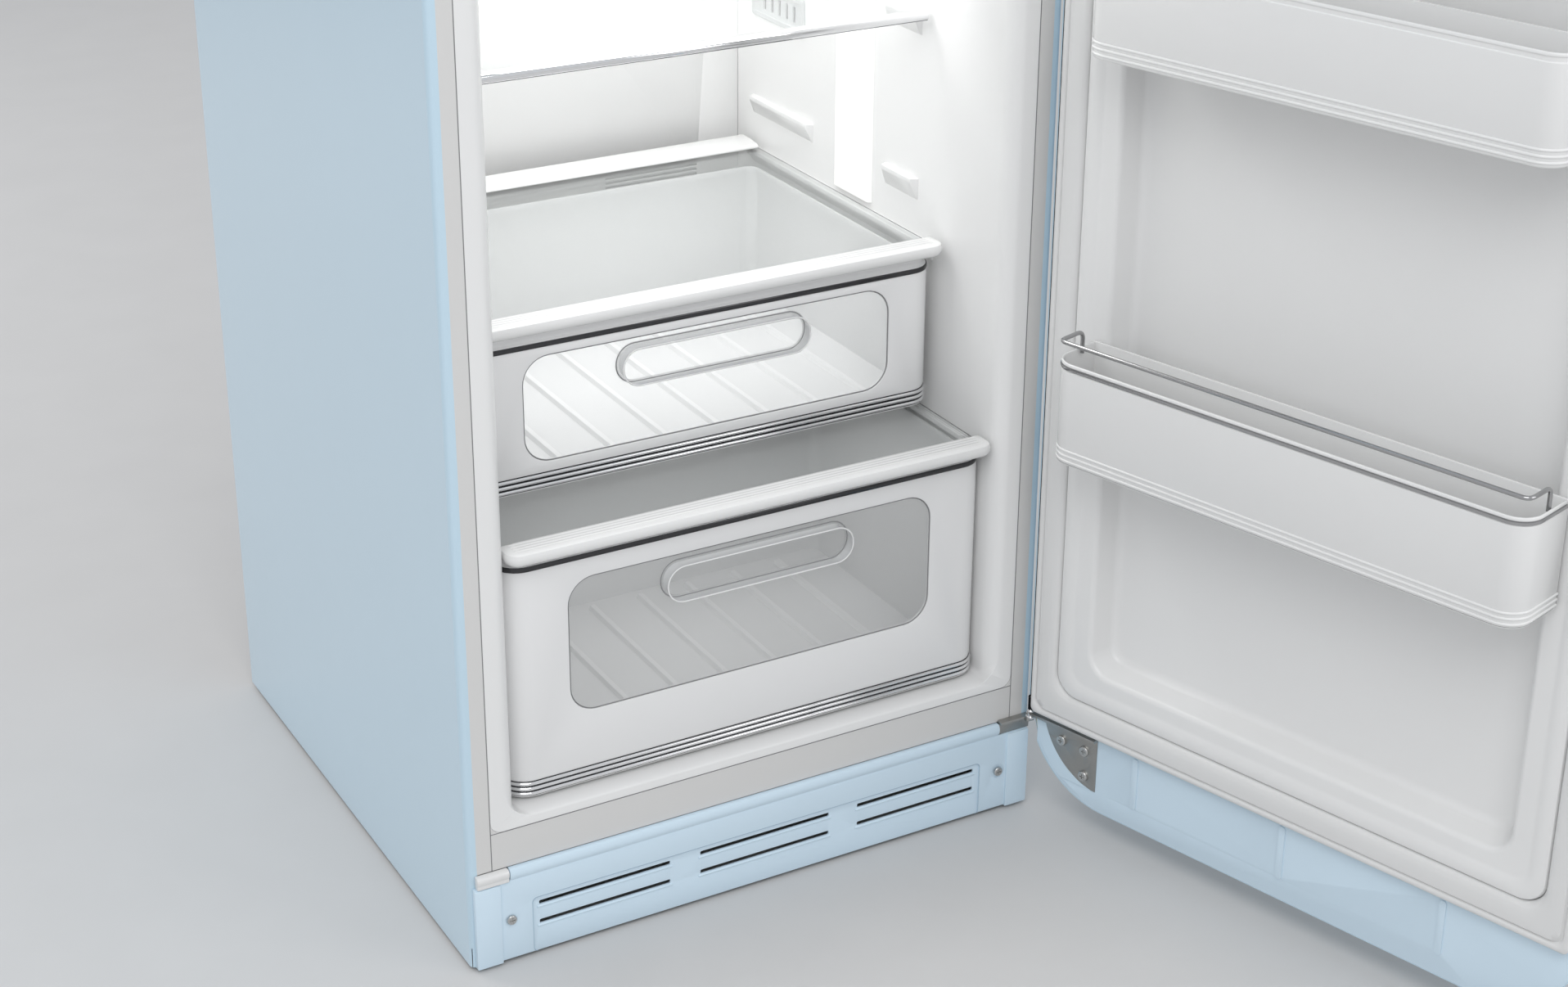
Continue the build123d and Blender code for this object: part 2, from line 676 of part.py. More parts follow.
def back_cover():
    """The full-width cover on the back wall, a shallow tray over the air channel, with slots."""
    half = WALL_HALF - 0.5
    z0, z1 = BACK_COVER_Z
    y1 = FRIDGE_BACK - 0.1
    wall = BACK_COVER_WALL
    tray = prism(two_radius(half, z0, z1, 0, ROOM_RADIUS + 1), BACK_COVER_Y, y1)
    tray = tray - block(-half + wall, half - wall, BACK_COVER_Y + wall, y1 + 1, z0 + wall, z1 - wall)
    for x0, x1 in AIR_SLOTS:
        for z in (530, 535, 540, 900, 910, 1080, 1090):
            tray = tray - block(x0, x1, BACK_COVER_Y - 1, BACK_COVER_Y + wall + 1, z - 1.2, z + 1.2)
    return tray


# Freezer works


def evaporator_cover():
    """The panel in front of the cooling coil, with air slots and the fan's mouth."""
    half = WALL_HALF - 8
    sheet = rectangle(-half, half, FREEZER_Z[0] + 26, FREEZER_Z[1] - 26)
    for row in range(4):
        z = FREEZER_Z[0] + 46 + 12 * row
        for x in (-150, 0, 150):
            sheet = sheet - Pos(x, z) * SlotOverall(110, 5)
    x, _, z, radius = FREEZER_FAN
    sheet = sheet - Pos(x, z) * Circle(radius + 6)
    for blade in (-36, -12, 12, 36):
        sheet = sheet + Pos(x, z + blade) * Rectangle(2 * radius + 14, 3)
    return prism(sheet, 96, 99)


def evaporator():
    """The finned cooling coil: eight passes through twelve plates."""
    pieces = None
    for column in range(12):
        x = -198 + 36 * column
        fin = block(x - 0.6, x + 0.6, 118, 162, 1300, 1420)
        pieces = fin if pieces is None else pieces + fin
    for row in range(4):
        for y in (128, 152):
            z = 1315 + 30 * row
            pieces = pieces + rod((-205, y, z), (205, y, z), 4)
    return pieces


def fan_motor(x, y, z, radius):
    """A small motor can behind a fan, with its bar and its shaft."""
    back = y + 2
    can = rod((x, back, z), (x, back + 28, z), 22)
    bar = block(x - radius + 4, x + radius - 4, back, back + 6, z - 6, z + 6)
    return can + bar + rod((x, back, z), (x, back - 24, z), 2)


def fan_blade(x, y, z, radius):
    """A hub with five pitched blades, bored for the shaft."""
    fan = rod((x, y, z), (x, y - 14, z), 11)
    for number in range(5):
        blade = Pos(0, 0, radius / 2 + 3) * Rot(0, 0, 28) * Box(radius * 0.5, 2, radius - 6)
        fan = fan + Pos(x, y - 7, z) * Rot(0, 72 * number, 0) * blade
    return fan - rod((x, y - 30, z), (x, y + 30, z), 2.05)


def freezer_shelf():
    """The glass plate that halves the freezer."""
    half, top = FREEZER_SHELF["half"], FREEZER_SHELF["top"]
    plate = block(-half, half, FREEZER_SHELF["y0"], FREEZER_SHELF["y1"], top - GLASS, top)
    return fillet(plate.edges().filter_by(Axis.Z), 4)


def freezer_shelf_trim():
    """The bright strip on the freezer shelf's front edge."""
    half, top, y = FREEZER_SHELF["half"], FREEZER_SHELF["top"], FREEZER_SHELF["y0"]
    strip = block(-half, half, y - 10, y + 6, top - GLASS - 3, top + 4)
    return strip - block(-half - 2, half + 2, y - 0.2, y + 8, top - GLASS - 0.05, top + 0.05)


# Machine space


def compressor_tray():
    """The folded plate between the rails that carries the machines."""
    half = RAIL_IN - 3.5
    tray = block(-half, half, 68, 292, 18, 20)
    return tray + block(-half, half, 68, 70, 20, 34)


def compressor():
    """The sealed steel can, with its welded foot plate."""
    x, y = COMPRESSOR
    lower = Pos(x, y, 68) * Cylinder(74, 60)
    dome = Pos(x, y, 98) * Cylinder(76, 6)
    upper = Pos(x, y, 125) * Cylinder(74, 50)
    can = fillet((lower + dome + upper).edges().group_by(Axis.Z)[-1], 30)
    can = fillet(can.edges().group_by(Axis.Z)[0], 16)
    plate = block(x - 92, x + 92, y - 52, y + 52, 34, 38)
    return can + plate - block(x - 200, x + 200, y - 200, y + 200, 0, 34)


def compressor_mounts():
    """Four rubber feet under the compressor's plate."""
    x, y = COMPRESSOR
    mounts = []
    for dx in (-82, 82):
        for dy in (-42, 42):
            mounts.append(Pos(x + dx, y + dy, 27) * Cylinder(9, 14))
    return mounts


def relay_box():
    """The start relay's box on the compressor's side."""
    x, y = COMPRESSOR
    box = block(x + 76, x + 104, y - 26, y + 26, 60, 118)
    return fillet(box.edges().filter_by(Axis.Z), 4)


def condenser():
    """The finned coil beside the compressor."""
    pieces = None
    for column in range(14):
        x = 40 + 12 * column
        fin = block(x - 0.6, x + 0.6, 84, 134, 34, 170)
        pieces = fin if pieces is None else pieces + fin
    for row in range(5):
        for y in (96, 122):
            z = 50 + 27 * row
            pieces = pieces + rod((34, y, z), (202, y, z), 3)
    return pieces


def condenser_stand():
    """The block under the condenser."""
    return block(34, 202, 84, 134, 20, 33.9)


def filter_drier():
    """The copper drier, clamped to the cabinet's step beside the coil."""
    body = rod((20, 92, 60), (20, 92, 150), 9)
    body = fillet(body.edges(), 4)
    return body + block(12, 28, MACHINE_Y + SKIN, 92, 96, 110)


def fan_stand():
    """The upright that holds the condenser fan's motor."""
    post = block(115, 125, 196, 204, 20, 85.9)
    return post + block(108, 132, 190, 210, 20, 23)


def drip_tray():
    """The tray on the compressor that melt water dries from."""
    x, y = COMPRESSOR
    tray = block(x - 70, x + 70, y - 60, y + 60, 150.2, 176)
    return tray - block(x - 68, x + 68, y - 58, y + 58, 152.2, 180)


def mains_inlet():
    """The moulded gland where a mains lead enters at the back."""
    body = block(214, 254, BACK - 22, BACK - SKIN - 0.1, 34, 62)
    return body - rod((234, BACK - 23, 48), (234, BACK + 1, 48), 4.5)


# Doors


def door_solid(z_range, radii, inset):
    """A door's pillow shape, closed, grown inwards by the inset."""
    z0, z1 = z_range
    sketch = two_radius(HALF_W - inset, z0 + inset, z1 - inset, radii[0] - inset, radii[1] - inset)
    solid = prism(sketch, DOOR_OUT + inset, DOOR_IN)
    face = DOOR_OUT + inset
    rim = solid.edges().filter_by(lambda e: abs(e.center().Y - face) < 0.01)
    return fillet(rim, DOOR_EDGE - inset)


def hinge_reliefs():
    """The space that the hinges need inside the doors' edges."""
    return [
        hinge_round(HINGE_RELIEF, 60, 109),
        hinge_round(HINGE_RELIEF, TOP_HINGE_Z - 1.5, TOP_HINGE_Z + 5.5),
    ]


def sleeve(z0, z1):
    """A thin nylon sleeve on the hinge axis."""
    return hinge_round(SLEEVE, z0, z1) - hinge_round(PIN + RUNNING, z0 - 1, z1 + 1)


def cut_for_hinges(piece):
    """Makes room for the hinges and their sleeves in a door's piece."""
    for relief in hinge_reliefs():
        piece = piece - relief
    for z0, z1 in FRIDGE_SLEEVES + FREEZER_SLEEVES:
        piece = piece - hinge_round(SLEEVE, z0 - 0.01, z1 + 0.01)
    return piece


def door_skin(z_range, radii):
    """The painted outer sheet of a door."""
    shell = door_solid(z_range, radii, 0) - door_solid(z_range, radii, SKIN)
    return cut_for_hinges(shell)


def liner_sketch(z0, z1, top_radius):
    """The outline of a door's inner panel, in front view."""
    return two_radius(GASKET_OUT, z0, z1, 6, top_radius)


def recess_prism(recess, wall, y0, y1):
    """The block of space that a door liner's recess takes, grown by the wall."""
    x0, x1, z0, z1 = recess
    outline = rounded(x0 - wall, x1 + wall, z0 - wall, z1 + wall, RECESS_RADIUS + wall)
    return prism(outline, y0, y1)


def door_foam(z_range, radii, recess):
    """The foam core between the skin and the liner."""
    core = door_solid(z_range, radii, SKIN)
    core = core - block(-400, 400, DOOR_IN - 4, DOOR_IN + 1, 0, 2000)
    core = core - recess_prism(recess, LINER, RECESS_Y - LINER, DOOR_IN)
    return cut_for_hinges(core)


def door_liner(z0, z1, top_radius, recess):
    """The white inner panel: a raised field with one deep recess."""
    base = prism(liner_sketch(z0, z1, top_radius), DOOR_IN - 4, DOOR_IN)
    inner = GASKET_OUT - 28.5
    field = prism(two_radius(inner, z0 + 32, z1 - 28, 24, max(top_radius - 28, 24)), DOOR_IN, PANEL_Y)
    bowl = recess_prism(recess, LINER, RECESS_Y - LINER, DOOR_IN)
    hollow = recess_prism(recess, 0, RECESS_Y, PANEL_Y + 1)
    return cut_for_hinges(base + field + bowl - hollow)


def door_gasket(z0, z1, top_radius):
    """The soft magnetic seal round the liner's field."""
    inner = GASKET_OUT - 28.2
    ring = two_radius(GASKET_OUT, z0, z1, 6, top_radius)
    ring = ring - two_radius(inner, z0 + 31.7, z1 - 27.7, 24, max(top_radius - 28, 24))
    return prism(ring, DOOR_IN + 0.05, DOOR_IN + GASKET_LIP)


def edge_strip(z_range, radii, liner):
    """The dark plastic rim between a door's skin and its liner."""
    z0, z1 = z_range
    outer = two_radius(HALF_W - SKIN, z0 + SKIN, z1 - SKIN, radii[0] - SKIN, radii[1] - SKIN)
    inner = liner_sketch(*liner)
    ring = outer - inner - rectangle(-400, 400, 0, SEAL_Z) if z0 < SEAL_Z else outer - inner
    return cut_for_hinges(prism(ring, DOOR_IN - 4, DOOR_IN))


def bottom_cap():
    """The blue inner face of the skirt that hangs over the plinth."""
    z0 = FRIDGE_DOOR_Z[0] + SKIN
    radius = DOOR_BOTTOM_RADIUS - SKIN
    shape = two_radius(HALF_W - SKIN, z0, 400, radius, 0) & rectangle(-400, 400, 0, SEAL_Z)
    cap = prism(shape, DOOR_IN - 4, DOOR_IN)
    for x in (-168, 0, 168):
        rib = prism(Pos(x, 79) * Rot(0, 0, 90) * SlotOverall(56, 7), DOOR_IN, DOOR_IN + 1.5)
        cap = cap + rib
    cap = cap - prism(hinge_plate_sketch(0.05), DOOR_IN - 2.0, DOOR_IN + 1)
    return cut_for_hinges(cap)


def hinge_plate_sketch(grow):
    """The quarter-round steel plate on the skirt, in front view."""
    left, right, low, high = 214.0, 289.5, 50.0, 110.0
    corner = Pos(left + 4, high) * Circle(right - left - 4 + grow)
    box = rectangle(left - grow, right + grow, low - grow, high)
    return box & corner


def hinge_shelf(grow):
    """The plate's folded top, which rests on the pin's collar."""
    return block(214 - grow, 297.2 + grow, DOOR_IN - 6 - grow, DOOR_IN + 6.5, 106.2 - grow, 109)


def door_hinge_plate():
    """The steel plate with its folded top that the lower pin passes through."""
    plate = prism(hinge_plate_sketch(0), DOOR_IN - 2.0, DOOR_IN + 0.6)
    plate = plate + hinge_shelf(0) - hinge_round(SLEEVE, 100, 112)
    for x, z in HINGE_SCREWS:
        plate = plate - rod((x, DOOR_IN - 5, z), (x, DOOR_IN + 5, z), 2.1)
    return plate - hinge_round(4.4, 100, 106.3)


def hinge_plate_screws():
    """Three screws driven outwards into the skirt."""
    screws = []
    for x, z in HINGE_SCREWS:
        turned = Pos(x, DOOR_IN + 0.6, z) * Rot(0, 0, 180) * screw(0, 0, 0, head=5.4, length=8)
        screws.append(turned)
    return screws


def fitted_to_plate(piece):
    """Makes room for the hinge plate's screws and its folded top."""
    piece = piece - hinge_shelf(0.05)
    for x, z in HINGE_SCREWS:
        piece = piece - rod((x, DOOR_IN - 12, z), (x, DOOR_IN + 5, z), 2.1)
    return piece


def door_handle(z0, z1):
    """A bright bowed bar on the door's free side."""
    y = DOOR_OUT - HANDLE_REACH
    points = [
        (HANDLE_X, DOOR_OUT - 6, z0),
        (HANDLE_X, y, z0 + 18),
        (HANDLE_X, y, z1 - 18),
        (HANDLE_X, DOOR_OUT - 6, z1),
    ]
    bar = tube(points, 8, 15)
    for z in (z0, z1):
        bar = bar + rod((HANDLE_X, DOOR_OUT - 7, z), (HANDLE_X, DOOR_OUT, z), 14)
    return bar


# Door bins, closed


def bin_plan(size, inset):
    """A bin in plan, closed: round front corners, square at the liner."""
    half = size["half"] - inset
    y0 = BIN_BACK + inset
    y1 = size["y"] - inset
    plan = Pos(0, (y0 + y1) / 2) * Rectangle(2 * half, y1 - y0)
    return fillet(plan.vertices().group_by(Axis.Y)[-1], BIN_CORNER - inset)


def bin_band(size, out, depth, z):
    """One fine line's band round a bin's face."""
    band = slab(bin_plan(size, -out), z, z + LINE_HEIGHT) - slab(bin_plan(size, depth), z, z + LINE_HEIGHT)
    return band & block(-300, 300, size["y"] - BIN_CORNER, size["y"] + 2, z, z + LINE_HEIGHT)


def door_bin(size):
    """A moulded bin with deep corner rounds and three fine grooves."""
    z0, z1 = size["z"]
    shell = slab(bin_plan(size, 0), z0, z1) - slab(bin_plan(size, BIN_WALL), z0 + BIN_WALL, z1 + 1)
    for z in line_heights(z0):
        shell = shell - bin_band(size, 1, GROOVE, z)
    return shell


def bin_rail(size):
    """The bright wire above a bin's rim, bent down at its ends."""
    foot_z = size["z"][1] - 4
    top = size["z"][1] + RAIL_RISE
    y = size["y"] - 1.5 * BIN_WALL - 1
    half = size["half"] - 5
    foot = size["y"] - 38
    points = [
        (-half, foot, foot_z),
        (-half, foot, top),
        (-half, y, top),
        (half, y, top),
        (half, foot, top),
        (half, foot, foot_z),
    ]
    return tube(points, RAIL_WIRE, 7)


def bin_lines(size):
    """The bright lines low on a bin's face."""
    return [bin_band(size, 0.3, GROOVE, z) for z in line_heights(size["z"][0])]


def dairy_cover():
    """The clear flap over the top bin, hinged along its back."""
    y1 = BINS["dairy_bin"]["y"] + 4
    z = BINS["dairy_bin"]["z"][1] + 1
    y0 = BIN_BACK + 6
    lid = block(-216, 216, y0 + 4, y1, z, z + 2.5)
    drop = block(-216, 216, y1 - 2.5, y1, z - 24, z)
    barrel = rod((-216, y0 + 4, z + 1.2), (216, y0 + 4, z + 1.2), 3)
    return lid + drop + barrel


# Nodes


def build_cabinet():
    """The shell, its linings and its base."""
    save("outer_wrap", outer_wrap())
    save("front_frame", front_frame())
    save("fridge_liner", fridge_liner())
    save("freezer_liner", freezer_liner())
    save("cabinet_insulation", cabinet_insulation())
    save("bottom_panel", bottom_panel())
    save("back_panels", [back_panel(), machine_cover()])
    stands = [compressor_tray(), condenser_stand(), fan_stand()]
    save("base_frame", mirrored(base_rail()) + mirrored(roller_axle()) + stands)
    save("plinth_grille", plinth())
    save("plinth_screws", plinth_screws())
    save("hinge_blank", hinge_blank())


def build_running_gear():
    """Feet, rollers and hinges."""
    save("front_feet", mirrored(front_foot()))
    right, left = mirrored(rear_roller())
    save("rear_roller_left", left)
    save("rear_roller_right", right)
    save("hinge_brackets", [bottom_hinge(), middle_hinge(), top_hinge()])
    save("hinge_pins", [bottom_hinge_pin(), middle_hinge_pin(), top_hinge_pin()])


def build_interior():
    """Shelves, drawers, light, control and air covers."""
    save("shelf_glasses", [shelf_glass(name) for name in SHELVES] + [freezer_shelf()])
    save("drawer_shelf_trims", [ribbed_trim("lower"), ribbed_trim("middle"), rear_trim("middle")])
    save("shelf_strips", [bright_strip("upper"), bright_strip("top"), freezer_shelf_trim()])
    for name, drawer in (("lower", LOWER_DRAWER), ("upper", UPPER_DRAWER)):
        save(f"{name}_drawer_front", drawer_front(drawer))
        save(f"{name}_drawer_tub", drawer_tub(drawer))
        save(f"{name}_drawer_handle", drawer_handle(drawer))
        save(f"{name}_drawer_strips", drawer_strips(drawer))
    save("light_cover", light_cover())
    save("control_box", control_box())
    save("control_knob", control_knob())
    save("air_covers", [back_cover(), vent_panel(), evaporator_cover()])


def build_works():
    """The cooling machines."""
    save("evaporator", evaporator())
    save("freezer_fan", fan_blade(*FREEZER_FAN))
    save("fan_motors", [fan_motor(*FREEZER_FAN), fan_motor(*CONDENSER_FAN)])
    save("condenser_fan", fan_blade(*CONDENSER_FAN))
    save("compressor", compressor())
    save("compressor_mounts", compressor_mounts())
    save("condenser", [condenser(), filter_drier()])
    save("drip_tray", drip_tray())
    save("relay_and_inlet", [relay_box(), mains_inlet()])


def build_fridge_door():
    """The lower door with its bins, swung open."""
    save("fridge_door_skin", door_skin(FRIDGE_DOOR_Z, FRIDGE_RADII), True)
    foam = door_foam(FRIDGE_DOOR_Z, FRIDGE_RADII, FRIDGE_RECESS)
    save("fridge_door_foam", fitted_to_plate(foam), True)
    save("fridge_door_liner", door_liner(*FRIDGE_LINER, FRIDGE_RECESS), True)
    save("fridge_door_gasket", door_gasket(*FRIDGE_LINER), True)
    rim = edge_strip(FRIDGE_DOOR_Z, FRIDGE_RADII, FRIDGE_LINER)
    save("fridge_door_rim", [rim] + [sleeve(*pair) for pair in FRIDGE_SLEEVES], True)
    save("fridge_door_skirt", fitted_to_plate(bottom_cap()), True)
    save("door_hinge_plate", door_hinge_plate(), True)
    save("hinge_plate_screws", hinge_plate_screws(), True)
    save("fridge_door_handle", door_handle(*FRIDGE_HANDLE_Z), True)
    for name, size in BINS.items():
        save(name, door_bin(size), True)
    save("bottle_bin_rail", [bin_rail(BINS["bottle_bin"])] + bin_lines(BINS["bottle_bin"]), True)
    save("dairy_cover", dairy_cover(), True)


def build_freezer_door():
    """The upper door, closed."""
    save("freezer_door_skin", door_skin(FREEZER_DOOR_Z, FREEZER_RADII))
    save("freezer_door_foam", door_foam(FREEZER_DOOR_Z, FREEZER_RADII, FREEZER_RECESS))
    save("freezer_door_liner", door_liner(*FREEZER_LINER, FREEZER_RECESS))
    save("freezer_door_gasket", door_gasket(*FREEZER_LINER))
    rim = edge_strip(FREEZER_DOOR_Z, FREEZER_RADII, FREEZER_LINER)
    save("freezer_door_rim", [rim] + [sleeve(*pair) for pair in FREEZER_SLEEVES])
    save("freezer_door_handle", door_handle(*FREEZER_HANDLE_Z))


os.makedirs("parts", exist_ok=True)
build_cabinet()
build_running_gear()
build_interior()
build_works()
build_fridge_door()
build_freezer_door()
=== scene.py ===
from math import cos, pi, radians, sin, tan

import bmesh
import bpy
from mathutils import Matrix, Vector

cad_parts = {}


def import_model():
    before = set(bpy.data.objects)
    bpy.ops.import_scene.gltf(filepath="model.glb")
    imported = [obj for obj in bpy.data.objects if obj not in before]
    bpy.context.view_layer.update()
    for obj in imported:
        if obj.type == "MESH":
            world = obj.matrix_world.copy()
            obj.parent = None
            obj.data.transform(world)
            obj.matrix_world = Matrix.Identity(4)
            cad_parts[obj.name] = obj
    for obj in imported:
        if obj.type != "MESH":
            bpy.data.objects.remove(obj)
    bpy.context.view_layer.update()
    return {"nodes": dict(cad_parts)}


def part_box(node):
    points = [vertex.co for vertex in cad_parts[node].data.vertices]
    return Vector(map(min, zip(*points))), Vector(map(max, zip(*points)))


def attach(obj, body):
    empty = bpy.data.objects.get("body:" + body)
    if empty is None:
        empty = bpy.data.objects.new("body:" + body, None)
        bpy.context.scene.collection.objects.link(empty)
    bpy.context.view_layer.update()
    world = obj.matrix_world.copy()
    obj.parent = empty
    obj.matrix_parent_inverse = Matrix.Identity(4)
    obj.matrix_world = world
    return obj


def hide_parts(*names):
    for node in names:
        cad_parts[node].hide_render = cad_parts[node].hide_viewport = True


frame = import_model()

# A top freezer refrigerator in pastel enamel, its fridge door open and its freezer door shut.
# Shapes are worked out in millimetres, in the CAD frame, and written to meshes in metres.

NODES = frame["nodes"]
MM = 0.001


def span(node):
    """The lowest and highest corner of a CAD node, in millimetres."""
    low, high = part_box(node)
    return low / MM, high / MM


# Places that the frame doesn't give, in millimetres
FRONT = -300.0
WALL = 250.0
DOOR_IN = -312.0
PANEL_Y = -304.0
RECESS_Y = -332.0
HINGE = (296.0, -310.0)
OPEN_ANGLE = 106.0
SEAM_X = 277.0
SHELF_RAILS = {
    "lower_shelf_rail": (396, -300, 248),
    "middle_shelf_rail": (568, -213, 244),
}
PLAIN_SHELVES = {
    "upper_shelf_edge": (785, -170, 244),
    "top_shelf_edge": (985, -170, 244),
    "freezer_shelf_edge": (1434, -238, 244),
}

# Plinth: the slots' spans and heights, the screws, the pressed panel and the hinge places
SLOT_SPANS = ((-234, -101), (-69.5, 69.5), (101, 234))
SLOT_HEIGHTS = (54.7, 34.5)
PLINTH_SCREW = (262.3, 47)
PLINTH_PANEL = (241, 62)
HINGE_PLACE = (262, 87)

# Back: the machine cover's top edge and slots, and the pressed ribs
MACHINE_TOP = 206.0
MACHINE_SLOTS = (60, 120, 170)
BACK_RIBS = (-210, -140, -70, 0, 70, 140, 210)

# Rooms: shelf rests, air slots in the back cover and the outlet on the right wall
FRIDGE_RESTS = (620, 781, 981)
FREEZER_REST = 1430
BACK_COVER_Y = 208.0
AIR_SPANS = ((-163, -55), (92, 200))
AIR_HEIGHTS = (530, 535, 540, 900, 910, 1080, 1090)
VENT_Y = (67, 174)
VENT_Z = (706, 743)

# Drawers: front corners, window half width and corner, handle half sizes
DRAWER_CORNER = 24.0
WINDOW_HALF = 188.0
WINDOW_CORNER = 26.0
HANDLE_HALF = (96.0, 18.0)

# Doors, closed: the liner's half width and heights, its top corners and the recess heights
LINER_HALF = 291.5
FIELD_HALF = 263.0
RECESS_HALF = 224.0
DOORS = {
    "fridge_door": {"z": (114, 1194), "radius": 30, "recess": (182, 1140)},
    "freezer_door": {"z": (1226, 1662), "radius": 58, "recess": (1290, 1600)},
}

# Door bins, closed: half width, bottom and top, front
BINS = {
    "bottle_bin": (238.0, 423.0, 521.0, -240.0),
    "middle_bin": (222.0, 802.0, 890.0, -240.0),
    "dairy_bin": (222.0, 1040.0, 1110.0, -246.0),
}


# Mesh tools


def arc(x, z, radius, start, end, steps):
    """Points on a round corner, by angle in degrees."""
    turn = [radians(start + (end - start) * i / steps) for i in range(steps + 1)]
    return [(x + radius * cos(a), z + radius * sin(a)) for a in turn]


def round_loop(x0, x1, z0, z1, low, top=None, steps=8):
    """A rectangle with round corners, anticlockwise from its lower left."""
    top = low if top is None else top
    return (
        arc(x0 + low, z0 + low, low, 180, 270, steps)
        + arc(x1 - low, z0 + low, low, 270, 360, steps)
        + arc(x1 - top, z1 - top, top, 0, 90, steps)
        + arc(x0 + top, z1 - top, top, 90, 180, steps)
    )


def blend_loops(inner, outer, share):
    """A loop between two loops with the same number of points."""
    return [
        (a[0] + (b[0] - a[0]) * share, a[1] + (b[1] - a[1]) * share)
        for a, b in zip(inner, outer)
    ]


def at_y(loop, y):
    """A front-view loop placed at a depth."""
    return [(x, y, z) for x, z in loop]


def rings_mesh(rings, caps=(False, False), close=False):
    """Vertices and faces of a skin over rings of points."""
    count = len(rings[0])
    verts = [point for ring in rings for point in ring]
    faces = []
    last = len(rings) if close else len(rings) - 1
    for r in range(last):
        a, b = r * count, ((r + 1) % len(rings)) * count
        for i in range(count):
            j = (i + 1) % count
            faces.append((a + i, a + j, b + j, b + i))
    if caps[0]:
        faces.append(tuple(range(count)))
    if caps[1]:
        end = (len(rings) - 1) * count
        faces.append(tuple(range(end + count - 1, end - 1, -1)))
    return verts, faces


def box_mesh(x0, x1, y0, y1, z0, z1):
    """Vertices and faces of a block."""
    ring = [(x0, y0), (x1, y0), (x1, y1), (x0, y1)]
    rings = [[(x, y, z) for x, y in ring] for z in (z0, z1)]
    return rings_mesh(rings, caps=(True, True))


def make(name, parts, material, angle=35):
    """An object of one or more (vertices, faces) parts, in millimetres."""
    mesh = bpy.data.meshes.new(name)
    verts, faces = [], []
    for part_verts, part_faces in parts:
        base = len(verts)
        verts += [(x * MM, y * MM, z * MM) for x, y, z in part_verts]
        faces += [tuple(base + i for i in face) for face in part_faces]
    mesh.from_pydata(verts, [], faces)
    tidy = bmesh.new()
    tidy.from_mesh(mesh)
    bmesh.ops.remove_doubles(tidy, verts=tidy.verts, dist=1e-6)
    bmesh.ops.recalc_face_normals(tidy, faces=tidy.faces)
    tidy.to_mesh(mesh)
    tidy.free()
    piece = bpy.data.objects.new(name, mesh)
    bpy.context.scene.collection.objects.link(piece)
    mesh.materials.append(material)
    smooth(piece, angle)
    return piece


def smooth(piece, angle=35):
    """Smooth shading that keeps the edges sharper than the angle."""
    for face in piece.data.polygons:
        face.use_smooth = True
    piece.data.set_sharp_from_angle(angle=radians(angle))


def settle(piece):
    """Turns the piece's modifiers into its mesh."""
    graph = bpy.context.evaluated_depsgraph_get()
    graph.update()
    mesh = bpy.data.meshes.new_from_object(piece.evaluated_get(graph))
    piece.modifiers.clear()
    piece.data = mesh
    smooth(piece)
    return piece


def bevel(piece, width, segments=2, angle=40):
    """Rounds the piece's edges."""
    rounding = piece.modifiers.new("rounding", "BEVEL")
    rounding.width = width * MM
    rounding.segments = segments
    rounding.limit_method = "ANGLE"
    rounding.angle_limit = radians(angle)
    rounding.use_clamp_overlap = True
    return settle(piece)


def carve(piece, parts):
    """Cuts blocks of space out of a piece."""
    cutter = make("cutter", parts, piece.data.materials[0])
    cut = piece.modifiers.new("cut", "BOOLEAN")
    cut.operation = "DIFFERENCE"
    cut.solver = "EXACT"
    cut.object = cutter
    settle(piece)
    bpy.data.objects.remove(cutter)
    return piece


def prism_mesh(loop, y0, y1):
    """A front-view loop given depth."""
    return rings_mesh([at_y(loop, y0), at_y(loop, y1)], caps=(True, True))


def sweep_mesh(path, profile, close=False):
    """A closed profile of (outward, z) points carried along a plan path."""
    rings = [[(x + nx * out, y + ny * out, z) for out, z in profile] for x, y, nx, ny in path]
    return rings_mesh(rings, caps=(not close, not close), close=close)


def extrude_x(profile, x0, x1):
    """A (y, z) profile carried straight from x0 to x1."""
    rings = [[(x, y, z) for y, z in profile] for x in (x0, x1)]
    return rings_mesh(rings, caps=(True, True))


def plan_corner(x, y, radius, start, end):
    """Path points with outward normals round a plan corner."""
    steps = 9
    turn = [radians(start + (end - start) * i / steps) for i in range(steps + 1)]
    return [(x + radius * cos(a), y + radius * sin(a), cos(a), sin(a)) for a in turn]


def front_path(half, y, radius, depth):
    """A plan path from the left side, round the front corners, to the right side."""
    return (
        [(-half, y + depth, -1, 0)]
        + plan_corner(-half + radius, y + radius, radius, 180, 270)
        + plan_corner(half - radius, y + radius, radius, 270, 360)
        + [(half, y + depth, 1, 0)]
    )


def tub_path(half, y0, y1, front_radius, back_radius):
    """A closed plan path round a tub."""
    return (
        plan_corner(-half + front_radius, y0 + front_radius, front_radius, 180, 270)
        + plan_corner(half - front_radius, y0 + front_radius, front_radius, 270, 360)
        + plan_corner(half - back_radius, y1 - back_radius, back_radius, 0, 90)
        + plan_corner(-half + back_radius, y1 - back_radius, back_radius, 90, 180)
    )


def floor_mesh(path, inset, z0, z1):
    """A plate inside a closed plan path."""
    ring = [(x - nx * inset, y - ny * inset) for x, y, nx, ny in path]
    rings = [[(x, y, z) for x, y in ring] for z in (z0, z1)]
    return rings_mesh(rings, caps=(True, True))


